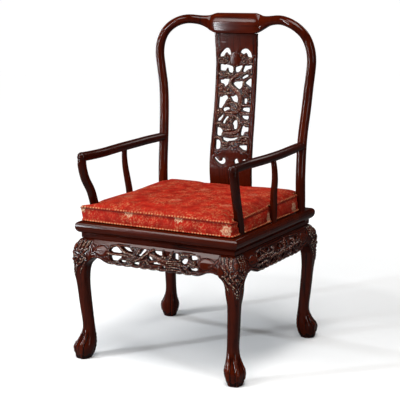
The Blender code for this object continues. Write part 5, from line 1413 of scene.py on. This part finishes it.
class ARMCHAIR_OT_aprons(bpy.types.Operator):
    """Carve the pierced aprons on the front and the sides and finish the plain one behind."""

    bl_idname = "armchair.aprons"
    bl_label = "Carved aprons"

    def execute(self, context):
        carving = context.scene.armchair_carving
        for name, quarter in QUARTERS:
            sideways = quarter % 2 == 1
            finish = finish_named(f"carved_rosewood_{'deep' if sideways else 'across'}")
            reach = WAIST_HALF_WIDTH if sideways else WAIST_HALF_DEPTH
            half_length = (WAIST_HALF_DEPTH if sideways else WAIST_HALF_WIDTH) - LEG_BLOCK

            def middle(height, reach=reach):
                """Return how far out the middle of the apron lies at a height."""
                swell = interpolate(apron_swell_shares, height / APRON_TOP) * LEG_BLOCK
                return -reach - swell + APRON_THICKNESS / 2

            def field(x, z, half_length=half_length):
                """Return 1 in the pierced field, 0 on the smooth ends and the top edge."""
                drop = (APRON_TOP - z) / APRON_DEPTH
                across = fall_to(np.abs(x) / half_length, *APRON_FIELD_SIDE)
                return across * rise_from(drop, *APRON_FIELD_TOP)

            lines, bosses, openings = apron_side_lines, apron_side_bosses, apron_side_openings
            if name == "front":
                lines, bosses, openings = apron_front_lines, apron_front_bosses, apron_front_openings
            if name == "left":
                lines = [([(-x, z) for x, z in points], *rest) for points, *rest in lines]
                bosses = [(-x, z, radius, height, -turns) for x, z, radius, height, turns in bosses]
                openings = [[(-x, z) for x, z in opening] for opening in openings]
            if name == "back":
                lines, bosses, openings = [line for line in lines if abs(line[0][-1][0]) > 0.85], (), ()
                field = self.no_field
            slant = 1.25 * carving.slant * (name == "front")
            holes = see_through(openings, (half_length, -APRON_DEPTH), APRON_TOP, slant)
            apron = draw_board(f"carved_apron_{name}", self.outline(half_length), holes, APRON_THICKNESS / 2)
            carve_board(apron, carving, carving.apron_grain, middle, APRON_THICKNESS / 2, field, lines,
                        bosses, (half_length * 1000, -APRON_DEPTH * 1000), APRON_TOP, half_length - 0.002)
            self.let_in(apron, half_length)
            apron.data.transform(Matrix.Rotation(math.radians(90) * quarter, 4, "Z"))
            settle(apron, finish, f"apron_{name}")
            smooth(apron, 60.0)
        return {"FINISHED"}

    def outline(self, half_length):
        """Return an apron's outline: straight top, arched ends and a scalloped middle."""
        right = [(place * half_length, APRON_TOP - drop * APRON_DEPTH) for place, drop in apron_edge_shares]
        scallops = []
        for step in range(SCALLOPS * 8 + 1):
            drop = APRON_DEPTH + APRON_SCALLOP * (abs(math.sin(math.pi * step / 8)) - 1)
            scallops.append((0.62 * half_length * (1 - 2 * step / (SCALLOPS * 8)), APRON_TOP - drop))
        left = [(-x, z) for x, z in reversed(right)]
        return [(half_length, APRON_TOP), *right, *scallops, *left, (-half_length, APRON_TOP)]

    def no_field(self, x, z):
        """Return 0 everywhere: the apron behind has no pierced field."""
        return np.zeros(len(x))

    def let_in(self, apron, half_length):
        """Let the ends of an apron into the legs, so that the joints close."""
        for vert in apron.data.vertices:
            past = (abs(vert.co.x) - half_length + APRON_END) / APRON_END
            if past > 0:
                vert.co.x += math.copysign(APRON_LET_IN * past, vert.co.x)


class ARMCHAIR_OT_legs(bpy.types.Operator):
    """Carve the cabriole legs: leaves on the knees and claws round the balls."""

    bl_idname = "armchair.legs"
    bl_label = "Legs"

    def execute(self, context):
        carving = context.scene.armchair_carving
        for end, along in (("front", -1), ("back", 1)):
            for label, across in SIDES:
                leg = copy_node(f"leg_{end}_{label}", f"carved_leg_{end}_{label}")
                soften(leg, 60.0, 1)
                apply_modifier(leg, "REMESH", mode="VOXEL", voxel_size=carving.leg_grain,
                               use_smooth_shade=True)
                apply_modifier(leg, "SMOOTH", factor=0.5, iterations=4)
                self.carve(leg, across, along)
                settle(leg, finish_named("carved_rosewood_upright"), f"leg_{end}_{label}")
                smooth(leg, 60.0)
        return {"FINISHED"}

    def carve(self, leg, across, along):
        """Raise the leaves of the knee and the toes of the foot, and close the joints above."""
        places = read_points(leg)
        normals = read_points(leg, "normal")
        out_x = places[:, 0] * across - WAIST_HALF_WIDTH
        out_y = places[:, 1] * along - WAIST_HALF_DEPTH
        facing = np.maximum(normals[:, 0] * across, normals[:, 1] * along)
        spread = np.abs(out_y - out_x) * 1000.0
        plan = np.column_stack((spread, places[:, 2] * 1000.0))
        raised = relief(plan, knee_lines, knee_bosses, (1.0, 1.0)) / 1000.0
        raised *= rise_from(facing, 0.25, 0.35) * fall_to(places[:, 2], APRON_TOP - 0.004, 0.004)
        raised += self.toes(places, out_x, out_y)
        raised += 0.0012 * fall_to(places[:, 2], 0.30, 0.02)
        raised += 0.0016 * bell(places[:, 2] - 0.044, 0.022)
        places += normals * raised[:, None]
        high = places[:, 2] > APRON_TOP - APRON_DEPTH + 0.008
        places[:, 0] -= LEG_LET_IN * across * (high & (out_x < -LEG_BLOCK + 0.0015))
        places[:, 1] -= LEG_LET_IN * along * (high & (out_y < -LEG_BLOCK + 0.0015))
        low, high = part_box(leg.name.replace("carved_", ""))
        places = np.clip(places, low, high)
        write_points(leg, places, raised, np.clip(np.abs(raised) / 0.0006, 0.0, 1.0) * (places[:, 2] > 0.2))

    def toes(self, places, out_x, out_y):
        """Return how far the claw's joints and nails stand out of the ball."""
        height = places[:, 2]
        centre = interpolate(foot_centre_shares, height / APRON_TOP) * LEG_BLOCK
        bearing = np.degrees(np.arctan2(out_y - centre, out_x - centre)) - 45.0
        total = np.full(len(height), -BALL_SINK)
        for toe in (0.0, 56.0, -56.0, 180.0):
            away = np.abs((bearing - toe + 180.0) % 360.0 - 180.0)
            joints = 0.62 + 0.38 * np.cos((height - 0.061) / 0.0125 * math.pi) ** 2
            width = interpolate(toe_widths, height)
            ridge = TOE_HEIGHT * joints * arch(away / width)
            total = np.maximum(total, ridge * (away < width) - BALL_SINK * (away >= width))
            total = np.where(np.abs(away - width) < 3.0, np.minimum(total, -TOE_CUT), total)
        claw_ends = 0.015 + 0.004 * np.cos(np.radians(bearing) * 6.4)
        total -= NAIL_SINK * fall_to(height, claw_ends, 0.0015)
        return total * (rise_from(height, 0.0, 0.004) * fall_to(height, 0.092, 0.020))


class ARMCHAIR_OT_cushion(bpy.types.Operator):
    """Sew and stuff the loose cushion and lay its piping."""

    bl_idname = "armchair.cushion"
    bl_label = "Cushion"

    def execute(self, context):
        settings = context.scene.armchair_cushion
        cushion = copy_node("seat_cushion", "stuffed_cushion", quads=False)
        apply_modifier(cushion, "REMESH", mode="VOXEL", voxel_size=settings.facet, use_smooth_shade=True)
        places = read_points(cushion)
        normals = read_points(cushion, "normal")
        low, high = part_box("seat_cushion")
        rests = places[:, 2] < low.z + 0.004
        places -= normals * settings.slack * ~rests[:, None]
        corner = fall_to(places[:, 1], *CORNER_START) * fall_to(places[:, 0], 0.0, high.x) ** 3
        places[:, 0] -= settings.corner * corner * (0.4 + 28.0 * (places[:, 2] - low.z))
        move_points(cushion, places)
        self.blow_up(context, cushion, places, rests, settings)
        self.pinch(cushion, low, high)
        apply_modifier(cushion, "SUBSURF", levels=1, render_levels=1)
        self.unroll(cushion, low, high)
        places = read_points(cushion)
        # Painted shadow: the band just under the upper piping is darkened through this kept value
        under = self.seam_height(places[:, 1], UPPER_SEAM, low, high) - SHADE_DROP - places[:, 2]
        keep_values(cushion, "seam_shade", bell(under, SHADE_WIDTH))
        smooth(cushion, 60.0)
        settle(cushion, finish_named("brocade"), "seat_cushion", slot="fabric")
        for name, share in (("lower", LOWER_SEAM), ("upper", UPPER_SEAM)):
            self.pipe(cushion, name, share, low, high, settings)
        return {"FINISHED"}

    def seam_height(self, along, share, low, high):
        """Return the height of a share of the sides, which rise towards the back."""
        return low.z + share * (SIDE_HEIGHT + SIDE_RISE * (along - low.y) / (high.y - low.y))

    def pinch(self, cushion, low, high):
        """Draw the sides in a little where the piping is sewn on."""
        places = read_points(cushion)
        normals = read_points(cushion, "normal")
        for share in (LOWER_SEAM, UPPER_SEAM):
            away = places[:, 2] - self.seam_height(places[:, 1], share, low, high)
            places -= normals * (PINCH * bell(away, PINCH_WIDTH))[:, None]
        move_points(cushion, places)

    def blow_up(self, context, cushion, places, rests, settings):
        """Blow the cushion up as cloth with its underside held, and limit how far a point moves."""
        held = cushion.vertex_groups.new(name="held")
        held.add([int(number) for number in np.flatnonzero(rests)], 1.0, "REPLACE")
        select_only(cushion)
        cloth = cushion.modifiers.new("cloth", "CLOTH")
        for name, value in (
                ("quality", 5), ("mass", 0.25), ("tension_stiffness", 12.0), ("compression_stiffness", 12.0),
                ("shear_stiffness", 6.0), ("bending_stiffness", 0.6), ("use_pressure", True),
                ("uniform_pressure_force", settings.pressure), ("vertex_group_mass", "held")):
            setattr(cloth.settings, name, value)
        cloth.settings.effector_weights.gravity = 0.0
        cloth.collision_settings.use_collision = False
        cloth.point_cache.frame_start = 1
        cloth.point_cache.frame_end = settings.frames
        for step in range(1, settings.frames + 1):
            context.scene.frame_set(step)
        bpy.ops.object.modifier_apply(modifier=cloth.name)
        context.scene.frame_set(1)
        move = read_points(cushion) - places
        size = np.maximum(np.linalg.norm(move, axis=1), 1e-9)
        move_points(cushion, places + move * np.minimum(1.0, settings.swell / size)[:, None])
        cushion.vertex_groups.clear()

    def unroll(self, cushion, low, high):
        """Give the cloth a flat map: the bands round the sides at 0, the top as cut further up."""
        layer = cushion.data.uv_layers.new(name="cloth")
        for face in cushion.data.polygons:
            edge = self.seam_height(face.center.y, UPPER_SEAM, low, high)
            sideways = abs(face.normal.x) > abs(face.normal.y)
            corner = int(face.center.x > 0.17)
            for number in face.loop_indices:
                place = cushion.data.vertices[cushion.data.loops[number].vertex_index].co
                up = place.z - (low.z + edge) / 2
                if face.center.z > edge or abs(face.normal.z) > 0.8:
                    layer.data[number].uv = (place.x, place.y + 2.0)
                elif sideways:
                    layer.data[number].uv = (place.y + 0.19, up)
                else:
                    layer.data[number].uv = (place.x + (0.088, 0.101)[corner], up - (0.027, 0.003)[corner])

    def pipe(self, cushion, name, share, low, high, settings):
        """Lay a cord of piping round the cushion where the plane of a seam cuts it."""
        height = self.seam_height(0.0, share, low, high)
        slope = share * SIDE_RISE / (high.y - low.y)
        bm = bmesh.new()
        bm.from_mesh(cushion.data)
        cut = bmesh.ops.bisect_plane(bm, geom=bm.verts[:] + bm.edges[:] + bm.faces[:], dist=1e-6,
                                     plane_co=(0, 0, height), plane_no=(0, -slope, 1))["geom_cut"]
        edges = {part for part in cut if isinstance(part, bmesh.types.BMEdge)}
        start = max((vert for edge in edges for vert in edge.verts),
                    key=lambda vert: vert.co.y + abs(vert.co.x) * 0.01)
        ring = [start]
        edge = next(part for part in start.link_edges if part in edges)
        while edge:
            ring.append(edge.other_vert(ring[-1]))
            edges.discard(edge)
            edge = next((part for part in ring[-1].link_edges if part in edges), None)
        path = np.array([vert.co[:] for vert in ring[:-1]])
        bm.free()
        for _ in range(3):
            path = path * 0.5 + (np.roll(path, 1, axis=0) + np.roll(path, -1, axis=0)) * 0.25
        path[:, 2] = self.seam_height(path[:, 1], share, low, high)
        curve = draw_lines(f"{name}_piping", [path], closed=True).data
        curve.bevel_depth = settings.piping
        curve.bevel_resolution = 3
        cord = make_mesh(f"{name}_piping")
        weld(cord)
        lengths = run_lengths(path)
        tree = nearest_finder(path)
        keep_values(cord, "cord_length", [lengths[tree.find(vert.co)[1]] for vert in cord.data.vertices])
        smooth(cord, 60.0)
        settle(cord, finish_named("brocade_piping"), slot="fabric")


class ARMCHAIR_OT_stage(bpy.types.Operator):
    """Set the floor, the backdrop, the lamps and the camera."""

    bl_idname = "armchair.stage"
    bl_label = "Stage"

    def execute(self, context):
        settings = context.scene.armchair_stage
        bpy.ops.object.select_all(action="DESELECT")
        bpy.ops.mesh.primitive_circle_add(vertices=96, radius=STAGE_RADIUS, fill_type="NGON",
                                          location=(0, 0, 0))
        floor = bpy.context.object
        floor.name = "floor"
        floor.data.materials.append(self.white_finish("pale_floor", 0.86, settings.glow))
        bpy.ops.object.select_all(action="DESELECT")
        bpy.ops.mesh.primitive_cylinder_add(vertices=96, radius=STAGE_RADIUS, depth=BACKDROP_HEIGHT,
                                            end_fill_type="NOTHING", location=(0, 0, BACKDROP_HEIGHT / 2))
        backdrop = bpy.context.object
        backdrop.name = "backdrop"
        backdrop.data.materials.append(self.white_finish("pale_backdrop", 0.86, 1.0))
        for name, place, height, size, power, share, colour in lamps:
            self.add_lamp(name, place, (0, 0, height), size, getattr(settings, power) * share, colour)
        world = bpy.data.worlds.new("studio")
        context.scene.world = world
        world.use_nodes = True
        background = world.node_tree.nodes["Background"]
        background.inputs["Color"].default_value = (1.0, 1.0, 1.0, 1.0)
        background.inputs["Strength"].default_value = settings.surround
        azimuth, elevation = settings.azimuth, settings.elevation
        back = Vector((math.sin(azimuth) * math.cos(elevation), -math.cos(azimuth) * math.cos(elevation),
                       math.sin(elevation)))
        right = Vector((math.cos(azimuth), math.sin(azimuth), 0))
        up = back.cross(right)
        turned = Matrix((right, up, back)).transposed().to_4x4()
        bpy.ops.object.camera_add()
        camera = bpy.context.object
        camera.name = "camera"
        camera.matrix_world = Matrix.Translation(CAMERA_PLACE) @ turned
        camera.data.sensor_width = SENSOR_WIDTH
        camera.data.lens = settings.focal_length
        camera.data.shift_x, camera.data.shift_y = CAMERA_SHIFT
        context.scene.camera = camera
        context.scene.view_settings.view_transform = "Standard"
        return {"FINISHED"}

    def add_lamp(self, name, place, aim, size, power, colour):
        """Hang a soft box that looks at a place."""
        bpy.ops.object.light_add(type="AREA", location=place)
        lamp = bpy.context.object
        lamp.name = name
        lamp.data.shape = "RECTANGLE"
        lamp.data.size, lamp.data.size_y = size
        lamp.data.energy = power
        lamp.data.color = colour
        lamp.rotation_mode = "QUATERNION"
        lamp.rotation_quaternion = (Vector(aim) - Vector(place)).to_track_quat("-Z", "Y")

    def white_finish(self, name, shade, glow):
        """Make a pale finish whose lit parts are white to the camera and which keeps a shadow."""
        material, tree, shader = new_material(name)
        shader.inputs["Roughness"].default_value = 0.9
        shader.inputs["Specular IOR Level"].default_value = 0.0
        shader.inputs["Emission Color"].default_value = (1.0, 1.0, 1.0, 1.0)
        path = tree.nodes.new("ShaderNodeLightPath")
        mirrored = math_node(tree, "MULTIPLY", path.outputs["Is Glossy Ray"], 0.09)
        seen = math_node(tree, "MAXIMUM", path.outputs["Is Camera Ray"], mirrored)
        seen = math_node(tree, "MAXIMUM", seen, path.outputs["Is Transmission Ray"])
        place = tree.nodes.new("ShaderNodeTexCoord")
        length = add_node(tree, "ShaderNodeVectorMath", operation="LENGTH")
        tree.links.new(place.outputs["Object"], length.inputs[0])
        far = map_range(tree, length.outputs["Value"], 0.9, 2.2, glow, 1.0)
        lit = ramp(tree, math_node(tree, "MULTIPLY", length.outputs["Value"], 0.25), (
            (0.25, (shade, shade * 0.975, shade * 0.95)), (0.60, (0.10, 0.10, 0.10))))
        dulled = math_node(tree, "MULTIPLY_ADD", path.outputs["Is Camera Ray"], 0.72, 0.28)
        tree.links.new(math_node(tree, "MULTIPLY", lit.outputs["Color"], dulled), shader.inputs["Base Color"])
        tree.links.new(math_node(tree, "MULTIPLY", seen, far), shader.inputs["Emission Strength"])
        return material


class ARMCHAIR_PT_panel(bpy.types.Panel):
    """List the armchair's steps in the sidebar."""

    bl_idname = "ARMCHAIR_PT_panel"
    bl_label = "Armchair"
    bl_space_type = "VIEW_3D"
    bl_region_type = "UI"
    bl_category = "Armchair"

    def draw(self, context):
        for operator in steps:
            self.layout.operator(operator.bl_idname)
        for group in ("armchair_wood", "armchair_carving", "armchair_cushion", "armchair_stage"):
            settings = getattr(context.scene, group)
            box = self.layout.box()
            for name in settings.__annotations__:
                box.prop(settings, name)


steps = (ARMCHAIR_OT_finishes, ARMCHAIR_OT_seat_frame, ARMCHAIR_OT_legs, ARMCHAIR_OT_aprons,
         ARMCHAIR_OT_back_frame, ARMCHAIR_OT_splat, ARMCHAIR_OT_arms, ARMCHAIR_OT_cushion,
         ARMCHAIR_OT_stage)
setting_groups = (("armchair_wood", WoodSettings), ("armchair_carving", CarvingSettings),
                  ("armchair_cushion", CushionSettings), ("armchair_stage", StageSettings))


def register():
    """Register the settings, the operators and the panel."""
    for name, group in setting_groups:
        bpy.utils.register_class(group)
        setattr(bpy.types.Scene, name, PointerProperty(type=group))
    for operator in steps:
        bpy.utils.register_class(operator)
    bpy.utils.register_class(ARMCHAIR_PT_panel)


def unregister():
    """Take the panel, the operators and the settings away again."""
    bpy.utils.unregister_class(ARMCHAIR_PT_panel)
    for operator in reversed(steps):
        bpy.utils.unregister_class(operator)
    for name, group in reversed(setting_groups):
        delattr(bpy.types.Scene, name)
        bpy.utils.unregister_class(group)


def main():
    """Dress the armchair step by step."""
    register()
    bpy.ops.armchair.finishes()
    bpy.ops.armchair.seat_frame()
    bpy.ops.armchair.legs()
    bpy.ops.armchair.aprons()
    bpy.ops.armchair.back_frame()
    bpy.ops.armchair.splat()
    bpy.ops.armchair.arms()
    bpy.ops.armchair.cushion()
    bpy.ops.armchair.stage()


if __name__ == "__main__":
    main()
